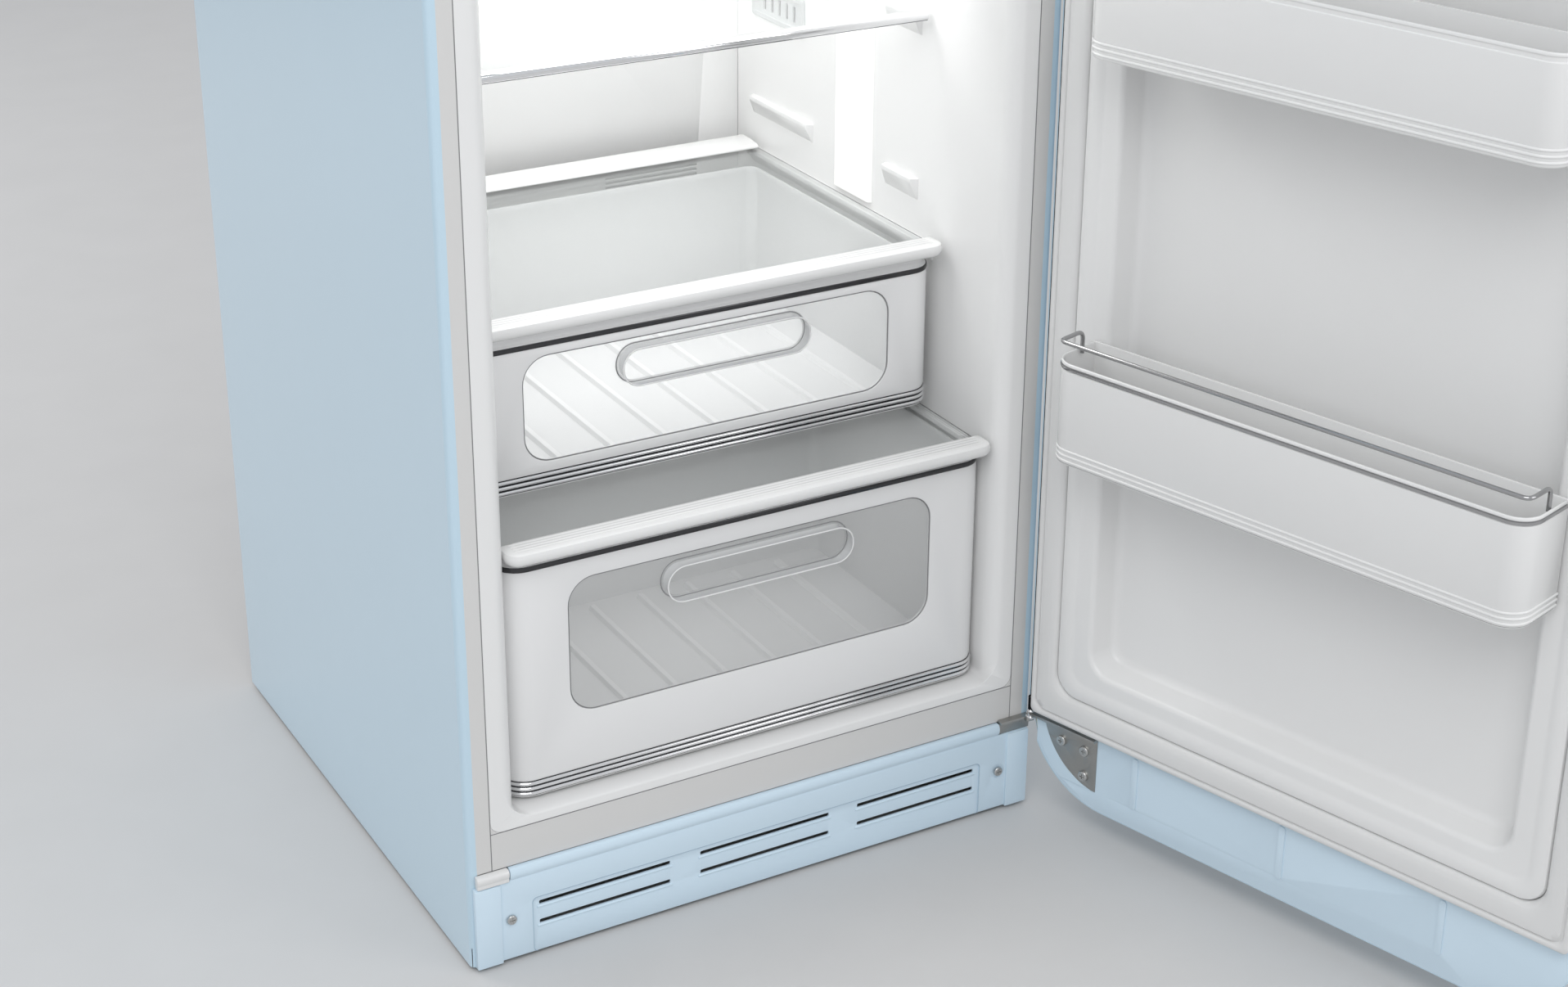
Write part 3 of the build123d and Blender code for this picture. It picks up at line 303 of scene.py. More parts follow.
def bend_path(points, radius):
    """A path in space with its corners rounded."""
    steps = 6
    points = [Vector(p) for p in points]
    path = [points[0]]
    for before, corner, after in zip(points, points[1:], points[2:]):
        to_start = (before - corner).normalized()
        to_end = (after - corner).normalized()
        half_turn = to_start.angle(to_end) / 2
        reach = min(radius / tan(half_turn), (after - corner).length / 2)
        start, end = corner + to_start * reach, corner + to_end * reach
        for i in range(steps + 1):
            t = i / steps
            path.append(start * (1 - t) ** 2 + corner * 2 * t * (1 - t) + end * t**2)
    return path + [points[-1]]


def tube_mesh(points, radius, bend):
    """A round tube along a bent path."""
    sides = 14
    path = bend_path(points, bend)
    rings = []
    side = None
    for i, point in enumerate(path):
        ahead = (path[min(i + 1, len(path) - 1)] - path[max(i - 1, 0)]).normalized()
        if side is None:
            side = ahead.orthogonal().normalized()
        side = (side - ahead * side.dot(ahead)).normalized()
        across = ahead.cross(side)
        ring = []
        for k in range(sides):
            a = 2 * pi * k / sides
            spot = point + (side * cos(a) + across * sin(a)) * radius
            ring.append(tuple(spot))
        rings.append(ring)
    return rings_mesh(rings, caps=(True, True))


def opened(piece):
    """Swings a closed-door piece to the door's stored angle."""
    hinge = Vector((HINGE[0] * MM, HINGE[1] * MM, 0))
    turn = Matrix.Translation(hinge) @ Matrix.Rotation(radians(OPEN_ANGLE), 4, "Z")
    piece.data.transform(turn @ Matrix.Translation(-hinge))
    return piece


def place(piece, body, slot, *nodes):
    """Ties a piece to its CAD body and hides the nodes that it stands for; the slot is not used."""
    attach(piece, body)
    if nodes:
        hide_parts(*nodes)
    return piece


def softened(node, body, slot, material, width):
    """The CAD node's own shape with its edges rounded."""
    mesh = NODES[node].data.copy()
    mesh.name = node + "_rounded"
    piece = bpy.data.objects.new(node + "_rounded", mesh)
    bpy.context.scene.collection.objects.link(piece)
    mesh.materials.clear()
    mesh.materials.append(material)
    clean = bmesh.new()
    clean.from_mesh(mesh)
    bmesh.ops.remove_doubles(clean, verts=clean.verts, dist=2e-6)
    flat = radians(1.0)
    bmesh.ops.dissolve_limit(clean, angle_limit=flat, verts=clean.verts, edges=clean.edges)
    clean.to_mesh(mesh)
    clean.free()
    bevel(piece, width)
    return place(piece, body, slot, node)


# Materials


def noise(tree, scale, detail, stretch):
    """Noise in the object's own space, drawn out along an axis if stretched."""
    spot = tree.nodes.new("ShaderNodeTexCoord").outputs["Object"]
    if stretch:
        mapping = tree.nodes.new("ShaderNodeMapping")
        mapping.inputs["Scale"].default_value = stretch
        tree.links.new(spot, mapping.inputs["Vector"])
        spot = mapping.outputs["Vector"]
    node = tree.nodes.new("ShaderNodeTexNoise")
    node.inputs["Scale"].default_value = scale
    node.inputs["Detail"].default_value = detail
    tree.links.new(spot, node.inputs["Vector"])
    return node.outputs["Fac"]


def spread(tree, value, low, high):
    """Maps a 0 to 1 pattern to a range."""
    node = tree.nodes.new("ShaderNodeMapRange")
    node.inputs["From Min"].default_value = 0.3
    node.inputs["From Max"].default_value = 0.7
    node.inputs["To Min"].default_value = low
    node.inputs["To Max"].default_value = high
    tree.links.new(value, node.inputs["Value"])
    return node.outputs["Result"]


def mixed(tree, value, first, second):
    """A colour between two colours, through the colour sockets of a Mix node."""
    factor, colour_a, colour_b, result = 0, 6, 7, 2
    node = tree.nodes.new("ShaderNodeMix")
    node.data_type = "RGBA"
    node.inputs[colour_a].default_value = (*first, 1)
    node.inputs[colour_b].default_value = (*second, 1)
    tree.links.new(value, node.inputs[factor])
    return node.outputs[result]


def bump(tree, value, depth):
    """A surface normal disturbed by a pattern."""
    node = tree.nodes.new("ShaderNodeBump")
    node.inputs["Distance"].default_value = depth
    tree.links.new(value, node.inputs["Height"])
    return node.outputs["Normal"]


def finish(name, colour, rough, metal=0.0, mottle=0.03, grain=700.0, depth=2e-5,
           coat=0.0, stretch=None, uneven=0.02):
    """A solid surface with a faint drift of colour, uneven gloss and a fine grain."""
    material = bpy.data.materials.new(name)
    material.use_nodes = True
    tree = material.node_tree
    shader = tree.nodes["Principled BSDF"]
    shader.inputs["Metallic"].default_value = metal
    shader.inputs["Coat Weight"].default_value = coat
    shader.inputs["Coat Roughness"].default_value = 0.06
    first = tuple(c * (1 - mottle) for c in colour)
    second = tuple(min(1.0, c * (1 + mottle)) for c in colour)
    drift = noise(tree, 9.0, 4.0, stretch)
    tree.links.new(mixed(tree, drift, first, second), shader.inputs["Base Color"])
    gloss = spread(tree, noise(tree, 40.0, 4.0, stretch), rough - uneven, rough + uneven)
    tree.links.new(gloss, shader.inputs["Roughness"])
    tree.links.new(bump(tree, noise(tree, grain, 2.0, stretch), depth), shader.inputs["Normal"])
    return material


def spangle(name, colour, rough):
    """Zinc-coated steel: crystals of slightly different grey."""
    material = finish(name, colour, rough, metal=0.9)
    tree = material.node_tree
    shader = tree.nodes["Principled BSDF"]
    cells = tree.nodes.new("ShaderNodeTexVoronoi")
    cells.inputs["Scale"].default_value = 90.0
    spot = tree.nodes.new("ShaderNodeTexCoord")
    tree.links.new(spot.outputs["Object"], cells.inputs["Vector"])
    grey = tree.nodes.new("ShaderNodeRGBToBW")
    tree.links.new(cells.outputs["Color"], grey.inputs["Color"])
    tone = mixed(tree, grey.outputs["Val"], tuple(c * 0.82 for c in colour), colour)
    tree.links.new(tone, shader.inputs["Base Color"])
    return material


def clear(name, tint, rough, body, edge):
    """Clear plastic or glass: sight passes through, and the gloss grows at grazing angles."""
    material = finish(name, tint, rough, mottle=0.01, uneven=0.01, depth=1e-6, grain=60.0)
    tree = material.node_tree
    shader = tree.nodes["Principled BSDF"]
    shader.inputs["IOR"].default_value = 1.49
    shader.inputs["Specular IOR Level"].default_value = 0.5
    through = tree.nodes.new("ShaderNodeBsdfTransparent")
    through.inputs["Color"].default_value = (*[0.94 + 0.06 * c for c in tint], 1)
    rim = tree.nodes.new("ShaderNodeLayerWeight")
    rim.inputs["Blend"].default_value = 0.2
    amount = tree.nodes.new("ShaderNodeMapRange")
    amount.inputs["To Min"].default_value = body
    amount.inputs["To Max"].default_value = edge
    tree.links.new(rim.outputs["Fresnel"], amount.inputs["Value"])
    mix = tree.nodes.new("ShaderNodeMixShader")
    tree.links.new(amount.outputs["Result"], mix.inputs["Fac"])
    tree.links.new(through.outputs["BSDF"], mix.inputs[1])
    tree.links.new(shader.outputs["BSDF"], mix.inputs[2])
    out = tree.nodes["Material Output"]
    tree.links.new(mix.outputs["Shader"], out.inputs["Surface"])
    return material


def glowing(name, colour, strength):
    """The frosted cover of the light, faintly ribbed, lit from behind."""
    material = finish(name, colour, 0.45, mottle=0.01, depth=4e-5, grain=260.0)
    shader = material.node_tree.nodes["Principled BSDF"]
    shader.inputs["Emission Color"].default_value = (1.0, 0.985, 0.96, 1)
    shader.inputs["Emission Strength"].default_value = strength
    return material


# Painted and moulded surfaces that the light falls on evenly
EVEN = {"mottle": 0.006, "depth": 4e-6, "uneven": 0.012}
PASTEL = (0.54, 0.70, 0.81)
ENAMEL = finish("pastel_enamel", PASTEL, 0.22, coat=0.6, mottle=0.01, grain=600.0,
                depth=6e-6, uneven=0.012)
PASTEL_PLASTIC = finish("pastel_plastic", (0.64, 0.78, 0.885), 0.3, mottle=0.008, grain=900.0, depth=5e-6)
# A darker pastel, used only as painted shade round the plinth's pressed panel
PASTEL_PAINTED_SHADE = finish("pastel_painted_shade", (0.40, 0.53, 0.64), 0.4, mottle=0.02)
FRAME_WHITE = finish("frame_enamel", (0.66, 0.655, 0.645), 0.3, coat=0.2, **EVEN)
LINER_WHITE = finish("liner_white", (0.80, 0.80, 0.795), 0.3, grain=900.0, **EVEN)
TRIM_WHITE = finish("trim_white", (0.78, 0.78, 0.775), 0.26, grain=1200.0, **EVEN)
FRONT_WHITE = finish("drawer_white", (0.78, 0.78, 0.78), 0.26, coat=0.2, **EVEN)
# White for the tub floor ribs, and for the painted highlight line on the drawer handles' rims
RIB_AND_HIGHLIGHT_WHITE = finish("rib_and_highlight_white", (0.80, 0.80, 0.80), 0.3, mottle=0.005)
# Grey for painted shade in the rail grooves
GROOVE_SHADE_GREY = finish("groove_shade_grey", (0.58, 0.58, 0.585), 0.5, mottle=0.02)
# Dark grey for the frame's real joints, and painted shade at the glass shelf edges, the drawer window
# seams and the handle roots
SEAM_AND_SHADE_GREY = finish("seam_and_shade_grey", (0.22, 0.22, 0.225), 0.5, mottle=0.05)
GASKET = finish("gasket", (0.74, 0.74, 0.735), 0.5, mottle=0.02, grain=1800.0, depth=3e-5)
GREY_PLASTIC = finish("grey_plastic", (0.46, 0.47, 0.475), 0.4, mottle=0.02, grain=1300.0, depth=2e-5)
# Black for the real plastic parts, and for a sheet of painted shade behind the side vent's slots
BLACK_PLASTIC_AND_SHADE = finish("black_plastic", (0.02, 0.02, 0.022), 0.5, mottle=0.2, grain=1500.0, depth=4e-5)
RIM_BLACK = finish("rim_black", (0.012, 0.012, 0.014), 0.75, mottle=0.15, grain=1500.0, depth=2e-5)
RIM_BLACK.node_tree.nodes["Principled BSDF"].inputs["Specular IOR Level"].default_value = 0.08
RUBBER = finish("rubber", (0.03, 0.03, 0.03), 0.8, mottle=0.2, grain=2000.0, depth=6e-5)
FOAM = finish("foam", (0.78, 0.66, 0.36), 0.9, mottle=0.15, grain=500.0, depth=6e-4)

# Metals
ZINC = spangle("zinc_steel", (0.62, 0.64, 0.65), 0.42)
GREY_SHEET = finish("grey_sheet", (0.42, 0.43, 0.44), 0.5, mottle=0.05, grain=600.0, depth=5e-5)
SCREW_STEEL = finish("screw_steel", (0.55, 0.55, 0.54), 0.28, metal=1.0, mottle=0.08)
HINGE_STEEL = finish("hinge_steel", (0.42, 0.415, 0.40), 0.34, metal=1.0, mottle=0.08,
                     stretch=(1, 1, 9), grain=500.0, depth=3e-5)
CHROME = finish("chrome", (0.83, 0.83, 0.84), 0.07, metal=1.0, mottle=0.01, uneven=0.03, depth=3e-6)
# Near-black metal: painted reflection on the drawers' top strip, and painted shade in the bead gaps and
# under the shelf strips
DARK_REFLECTION_AND_SHADE = finish("dark_reflection_and_shade", (0.07, 0.07, 0.073), 0.1, metal=1.0, mottle=0.05,
                     uneven=0.03, depth=3e-6)
STRIP_METAL = finish("strip_metal", (0.42, 0.42, 0.425), 0.16, metal=1.0, mottle=0.03)
FINS = finish("fin_aluminium", (0.72, 0.73, 0.74), 0.35, metal=1.0, stretch=(1, 1, 6), mottle=0.06)
COIL = finish("coil_black", (0.03, 0.03, 0.032), 0.45, mottle=0.2, grain=800.0, depth=5e-5)
COMPRESSOR_BLACK = finish("compressor_black", (0.018, 0.018, 0.02), 0.3, coat=0.4, mottle=0.2)

# Clear and lit surfaces
GLASS = clear("shelf_glass", (0.66, 0.68, 0.675), 0.03, 0.04, 0.3)
HANDLE_CLEAR = clear("handle_clear", (0.85, 0.86, 0.865), 0.04, 0.08, 0.7)
FROSTED = clear("frosted_plastic", (0.90, 0.905, 0.905), 0.3, 0.8, 0.9)
CLEAR = clear("clear_plastic", (0.96, 0.97, 0.97), 0.06, 0.12, 0.5)
DIFFUSER = glowing("light_diffuser", (0.92, 0.92, 0.91), 0.13)

NODE_FINISH = {
    "outer_wrap": ENAMEL,
    "fridge_door_skin": ENAMEL,
    "freezer_door_skin": ENAMEL,
    "front_frame": FRAME_WHITE,
    "cabinet_insulation": FOAM,
    "fridge_door_foam": FOAM,
    "freezer_door_foam": FOAM,
    "bottom_panel": ZINC,
    "base_frame": ZINC,
    "plinth_screws": SCREW_STEEL,
    "hinge_plate_screws": SCREW_STEEL,
    "hinge_pins": SCREW_STEEL,
    "evaporator": FINS,
    "freezer_fan": GREY_PLASTIC,
    "condenser_fan": BLACK_PLASTIC_AND_SHADE,
    "fan_motors": BLACK_PLASTIC_AND_SHADE,
    "compressor": COMPRESSOR_BLACK,
    "compressor_mounts": RUBBER,
    "condenser": COIL,
    "drip_tray": GREY_PLASTIC,
    "relay_and_inlet": BLACK_PLASTIC_AND_SHADE,
    "fridge_door_rim": RIM_BLACK,
    "freezer_door_rim": RIM_BLACK,
}


def finish_nodes():
    """Gives every CAD node that stays its own material."""
    for name, material in NODE_FINISH.items():
        mesh = NODES[name].data
        mesh.materials.clear()
        mesh.materials.append(material)


def soften_nodes():
    """CAD shapes that only need their edges rounded."""
    cabinet = (
        ("hinge_brackets", "hinge_steel", HINGE_STEEL, 0.6),
        ("shelf_glasses", "shelf_glass", GLASS, 1.2),
        ("control_box", "white_trim", TRIM_WHITE, 1.5),
        ("front_feet", "black_plastic", BLACK_PLASTIC_AND_SHADE, 0.5),
    )
    for node, slot, material, width in cabinet:
        softened(node, "cabinet", slot, material, width)
    softened("control_knob", "knob", "white_trim", TRIM_WHITE, 1.0)
    softened("rear_roller_left", "roller_left", "black_plastic", BLACK_PLASTIC_AND_SHADE, 0.5)
    softened("rear_roller_right", "roller_right", "black_plastic", BLACK_PLASTIC_AND_SHADE, 0.5)
    softened("door_hinge_plate", "fridge_door", "hinge_steel", HINGE_STEEL, 0.5)
    softened("fridge_door_skirt", "fridge_door", "pastel_plastic", PASTEL_PLASTIC, 0.7)
    softened("fridge_door_handle", "fridge_door", "bright_metal", CHROME, 1.5)
    softened("freezer_door_handle", "freezer_door", "bright_metal", CHROME, 1.5)
    softened("dairy_cover", "dairy_cover_body", "clear_plastic", CLEAR, 0.6)


# Cabinet


def wedge_mesh(side, y0, y1, top, drop, reach):
    """A moulded rest on a side wall: flat on top, sloping back into the wall below."""
    rings = []
    for y, out in ((y0, 0.0), (y0 + 4, reach), (y1 - 4, reach), (y1, 0.0)):
        x_in = side * (WALL + 1)
        x_out = side * (WALL - out)
        rings.append([(x_in, y, top), (x_out, y, top - 0.5), (x_out, y, top - 5), (x_in, y, top - drop)])
    return rings_mesh(rings, caps=(True, True))


def liner_rings(node):
    """Rings from the flange's edge, round the flared mouth, to the back wall."""
    low, high = span(node)
    half = high.x
    z0, z1 = low.z + 13, high.z - 14
    back = high.y - 2
    rings = [
        at_y(round_loop(-half, half, low.z, high.z, 12), FRONT + 1.2),
        at_y(round_loop(-half, half, low.z, high.z, 12), FRONT + 0.6),
        at_y(round_loop(0.6 - half, half - 0.6, low.z + 0.6, high.z - 0.6, 11.4), FRONT),
    ]
    flare = 9
    for i in range(flare + 1):
        t = i / flare
        fall = 1 - sin(pi * t / 2)
        wide = WALL + 14 * fall
        lip = 5 * fall
        loop = round_loop(-wide, wide, z0 - lip, z1 + lip, 6 + 30 * fall)
        rings.append(at_y(loop, FRONT + 17 * (1 - cos(pi * t / 2))))
    inner = round_loop(-WALL, WALL, z0, z1, 6)
    rings.append(at_y(inner, 0))
    bend = 10
    for i in range(7):
        a = radians(15 * i)
        cut = bend * (1 - cos(a))
        loop = round_loop(cut - WALL, WALL - cut, z0 + cut, z1 - cut, 6)
        rings.append(at_y(loop, back - bend + bend * sin(a)))
    return rings


def shelf_rests(side, top):
    """The two moulded rests that carry a plain shelf's side."""
    return [wedge_mesh(side, 49, 174, top, 22, 7), wedge_mesh(side, -150, -90, top, 24, 7)]


def fridge_liner():
    """The fridge room's lining with its rests, ledges and the step over the compressor."""
    low, high = span("fridge_liner")
    _, middle = span("upper_drawer_tub")
    parts = [rings_mesh(liner_rings("fridge_liner"), caps=(False, True))]
    parts.append(box_mesh(-WALL - 1, WALL + 1, 40, high.y, low.z + 5, 226))
    for side in (-1, 1):
        for top in FRIDGE_RESTS:
            parts += shelf_rests(side, top)
        parts.append(wedge_mesh(side, -180, 176, middle.z + 6, 19, 9.5))
        parts.append(wedge_mesh(side, -248, 36, 392, 2.4, 7))
    piece = make("fridge_room", parts, LINER_WHITE)
    bevel(piece, 1.6, 3, 50)
    place(piece, "cabinet", "white_liner", "fridge_liner")


def freezer_liner():
    """The freezer's lining with its shelf rests."""
    parts = [rings_mesh(liner_rings("freezer_liner"), caps=(False, True))]
    for side in (-1, 1):
        parts += shelf_rests(side, FREEZER_REST)
    piece = make("freezer_room", parts, LINER_WHITE)
    bevel(piece, 1.6, 3, 50)
    place(piece, "cabinet", "white_liner", "freezer_liner")


def seams():
    """The fine dark joints round the frame, and thin dark lines of painted shade in the gap at the glass
    shelves' side edges.
    """
    low, high = span("fridge_liner")
    foot, _ = span("front_frame")
    y0, y1 = FRONT - 0.06, FRONT + 0.2
    wide = 0.45
    lines = []
    for x in (-SEAM_X, SEAM_X):
        lines.append(box_mesh(x - wide, x + wide, y0, y1, foot.z, high.z - 12))
    lines.append(box_mesh(-SEAM_X, SEAM_X, y0, y1, low.z - wide, low.z + wide))
    place(make("frame_seams", lines, SEAM_AND_SHADE_GREY), "cabinet", "white_frame")
    # Thin dark lines along the glass shelves' side edges: painted shade in the gap to the wall
    edges = []
    for side in (-1, 1):
        edges.append(box_mesh(*sorted((side * 241.6, side * 242.4)), -180, 150, 567.8, 568.3))
        edges.append(box_mesh(*sorted((side * 245.6, side * 246.4)), -266, 34, 395.8, 396.3))
    place(make("glass_edge_shade", edges, SEAM_AND_SHADE_GREY), "cabinet", "shelf_glass")


def plinth_body(low, high, face):
    """The grille's shell, with the pressed panel and the hinge places cut out."""
    half, front, top = high.x, low.y, high.z
    profile = [
        (FRONT, top - 0.5),
        (front + 3, top - 0.5),
        (front + 1.2, top - 1.6),
        (front + 0.2, top - 4),
        (front, top - 7),
        (front + 0.5, top - 10),
        (face + 0.4, top - 12.5),
        (face, top - 15),
        (face, low.z + 2.5),
        (face + 0.8, low.z + 0.8),
        (face + 2.2, low.z),
        (FRONT, low.z),
    ]
    piece = make("plinth", [extrude_x(profile, 0.5 - half, half - 0.5)], PASTEL_PLASTIC, 25)
    panel, panel_top = PLINTH_PANEL
    cuts = [prism_mesh(round_loop(-panel, panel, -20, panel_top, 5), front - 5, face + 1.4)]
    place_x, place_z = HINGE_PLACE
    for side in (-1, 1):
        x0, x1 = sorted((side * place_x, side * (place_x + 48)))
        cuts.append(box_mesh(x0, x1, front - 5, FRONT + 5, place_z, 120))
    return carve(piece, cuts)


def plinth_holes(front):
    """The air slots, and the screws' holes with their counterbores."""
    holes = []
    for z in SLOT_HEIGHTS:
        for x0, x1 in SLOT_SPANS:
            loop = round_loop(x0, x1, z - 2.2, z + 2.2, 1.2, steps=3)
            holes.append(prism_mesh(loop, front - 5, FRONT + 1))
    x, z = PLINTH_SCREW
    for side in (-1, 1):
        holes.append(prism_mesh(arc(side * x, z, 7.4, 0, 345, 23), front - 5, front + 2.6))
        holes.append(prism_mesh(arc(side * x, z, 2.3, 0, 330, 11), front, FRONT + 1))
    return holes


def plinth_lips(low, half):
    """The lips under the slots and the raised ends."""
    front = low.y
    lips = []
    for z in SLOT_HEIGHTS:
        lip = [(front + 4, z - 2.4), (front + 2.4, z - 3.4), (front + 2.4, z - 4.6), (front + 4, z - 6)]
        for x0, x1 in SLOT_SPANS:
            lips.append(extrude_x(lip, x0 - 2, x1 + 2))
    for side in (-1, 1):
        x0, x1 = sorted((side * 272, side * (half - 0.3)))
        lips.append(box_mesh(x0, x1, front + 0.2, front + 4, low.z, 86.4))
    return lips


def plinth():
    """The grille: a rolled top edge, a recessed panel with slots, and stepped ends."""
    low, high = span("plinth_grille")
    half, front = high.x, low.y
    face = front + 2.0
    piece = plinth_body(low, high, face)
    carve(piece, plinth_holes(front))
    carve(piece, [box_mesh(-half + 3, half - 3, front + 5.2, FRONT + 1, low.z + 2.5, 85)])
    bevel(piece, 0.7, 3, 30)
    place(piece, "cabinet", "pastel_plastic", "plinth_grille")

    panel, top = PLINTH_PANEL
    # A darker line round the pressed panel: painted shade in its edge
    outline = round_loop(-panel - 0.4, panel + 0.4, low.z + 0.5, top + 0.4, 5)
    inner = round_loop(0.4 - panel, panel - 0.4, low.z + 0.5, top - 0.4, 5)
    shade = [rings_mesh([at_y(outline, face - 0.03), at_y(inner, face - 0.03)])]
    place(make("plinth_panel_shade_line", shade, PASTEL_PAINTED_SHADE), "cabinet", "pastel_plastic")
    ends = bevel(make("plinth_lips", plinth_lips(low, half), PASTEL_PLASTIC), 0.5, 2, 30)
    place(ends, "cabinet", "pastel_plastic")


def hinge_blank():
    """The white cover at the unused hinge place, with a rolled top like the plinth's."""
    low, high = span("hinge_blank")
    profile = [
        (high.y, high.z),
        (low.y + 3.2, high.z),
        (low.y + 1, high.z - 1),
        (low.y, high.z - 3),
        (low.y + 0.3, high.z - 6.5),
        (low.y + 1.4, high.z - 8.5),
        (low.y + 1.2, low.z),
        (high.y, low.z),
    ]
    piece = make("left_hinge_cover", [extrude_x(profile, low.x, high.x)], TRIM_WHITE)
    bevel(piece, 0.8, 3, 30)
    place(piece, "cabinet", "white_trim", "hinge_blank")


def back_panels():
    """The pressed back sheet with its stiffening ribs, and the slotted machine cover."""
    low, high = span("back_panels")
    half = high.x
    sheet = round_loop(-half, half, MACHINE_TOP, high.z, 2, 78.8)
    parts = [prism_mesh(sheet, high.y - 1.2, high.y - 0.6)]
    for x in BACK_RIBS:
        outer = round_loop(x - 14, x + 14, 280, 1560, 13)
        inner = round_loop(x - 9, x + 9, 285, 1555, 8.5)
        rib = [at_y(outer, high.y - 0.6), at_y(inner, high.y)]
        parts.append(rings_mesh(rib, caps=(True, True)))
    sheet_piece = make("back_sheet", parts, GREY_SHEET)
    place(sheet_piece, "cabinet", "grey_panel", "back_panels")
    plate = round_loop(-264, 264, low.z, MACHINE_TOP - 1, 4)
    cover = make("machine_cover", [prism_mesh(plate, high.y - 1.2, high.y)], GREY_SHEET)
    slots = []
    for column in range(9):
        x = -208 + 52 * column
        for z in MACHINE_SLOTS:
            loop = round_loop(x - 19, x + 19, z - 3, z + 3, 2.9, steps=5)
            slots.append(prism_mesh(loop, high.y - 3, high.y + 2))
    carve(cover, slots)
    place(cover, "cabinet", "grey_panel")


# Shelves


def nosed_rail(name, top, y, half):
    """The white rail on a drawer shelf: a rolled nose and a deck with fine ridges."""
    nose = [
        (-11, top + 7),
        (-4, top + 7),
        (-1.4, top + 6),
        (-0.2, top + 3.8),
        (0, top + 1),
        (-0.8, top - 2),
        (-2.4, top - 4),
        (-5, top - 5.5),
        (-11, top - 5.5),
    ]
    parts = [sweep_mesh(front_path(half, y, 13, 26), nose)]
    deck = [(y + 8, top + 0.2), (y + 8, top + 6.6)]
    for i in range(4):
        base = y + 8.5 + 4.6 * i
        deck += [(base, top + 6.9), (base + 1.6, top + 7.5), (base + 3.2, top + 6.9)]
    deck += [(y + 29, top + 5.4), (y + 30, top + 0.2)]
    parts.append(extrude_x(deck, 9 - half, half - 9))
    piece = make(name, parts, TRIM_WHITE, 28)
    return bevel(piece, 0.35, angle=45)


def rail_groove_shade(top, y, half):
    """Painted shade in the fine grooves between a rail's ridges, as thin grey lines."""
    starts = [y + 11.9 + 4.6 * i for i in range(4)]
    return [box_mesh(14 - half, half - 14, start, start + 0.8, top + 6.5, top + 7.0) for start in starts]


def shelf_trims():
    """The rails on the two drawer shelves and the low rail behind the middle one."""
    nodes = ["drawer_shelf_trims"]
    lines = []
    for name, (top, y, half) in SHELF_RAILS.items():
        place(nosed_rail(name, top, y, half), "cabinet", "white_trim", *nodes)
        lines += rail_groove_shade(top, y, half)
        nodes = []
    place(make("shelf_rail_groove_shade", lines, GROOVE_SHADE_GREY), "cabinet", "white_trim")
    rear = [
        (148, 568.2),
        (148, 570),
        (151, 572.5),
        (166, 574),
        (183, 574),
        (184, 572),
        (184, 568.2),
    ]
    parts = [extrude_x(rear, -242, 242), box_mesh(-232, 232, 176.2, 182, 562, 569)]
    back = bevel(make("middle_shelf_back_rail", parts, TRIM_WHITE), 0.8, 3, 30)
    place(back, "cabinet", "white_trim")


def bright_edge(name, top, y, half):
    """The bright strip on a plain shelf: a half-round nose that grips the glass."""
    profile = arc(y + 4.6, top - 2, 4.4, 90, 270, 12)
    profile += [(y + 12, top - 6.4), (y + 12, top - 5), (y + 5.9, top - 4.4)]
    profile += [(y + 5.9, top + 0.4), (y + 12, top + 0.9), (y + 12, top + 2.4)]
    return make(name, [extrude_x(profile, -half, half)], CHROME, 30)


def shelf_strips():
    """The plain shelves' bright strips, each with a dark line of painted shade along its underside."""
    nodes = ["shelf_strips"]
    for name, (top, y, half) in PLAIN_SHELVES.items():
        strip = bevel(bright_edge(name, top, y, half), 0.3, angle=50)
        place(strip, "cabinet", "bright_metal", *nodes)
        # A dark line under the nose: painted shade
        under = [(y + 1.2, top - 4.6), (y + 2.6, top - 6.3), (y + 4.6, top - 6.9), (y + 4.6, top - 6)]
        line = make(name + "_shade", [extrude_x(under, -half, half)], DARK_REFLECTION_AND_SHADE)
        place(line, "cabinet", "bright_metal")
        nodes = []


# Drawers


def bead(z, radius, out):
    """A half-round raised line's profile."""
    turn = [radians(a) for a in range(-90, 91, 15)]
    nose = [(out - radius + radius * cos(a), z + radius * sin(a)) for a in turn]
    return [(-1.2, z - radius)] + nose + [(-1.2, z + radius)]


def drawer_front(name, path, low, high, window):
    """The white front: a stepped shell with a window through it."""
    z0, z1 = low.z, high.z
    shell = [
        (-3, z0),
        (-0.8, z0),
        (-0.6, z0 + 17),
        (0, z0 + 19),
        (0, z1 - 15),
        (-0.8, z1 - 13.4),
        (-0.8, z1 - 8),
        (-2.8, z1 - 7),
        (-3.4, z1 - 5),
        (-3.2, z1 - 2),
        (-2, z1),
        (-4.6, z1),
        (-4.6, z1 - 13),
        (-3, z1 - 15),
    ]
    front = make(f"{name}_front", [sweep_mesh(path, shell)], FRONT_WHITE)
    carve(front, [prism_mesh(window, low.y - 4, low.y + 8)])
    bevel(front, 0.6, 3)
    place(front, f"{name}_drawer", "white_trim", f"{name}_drawer_front")


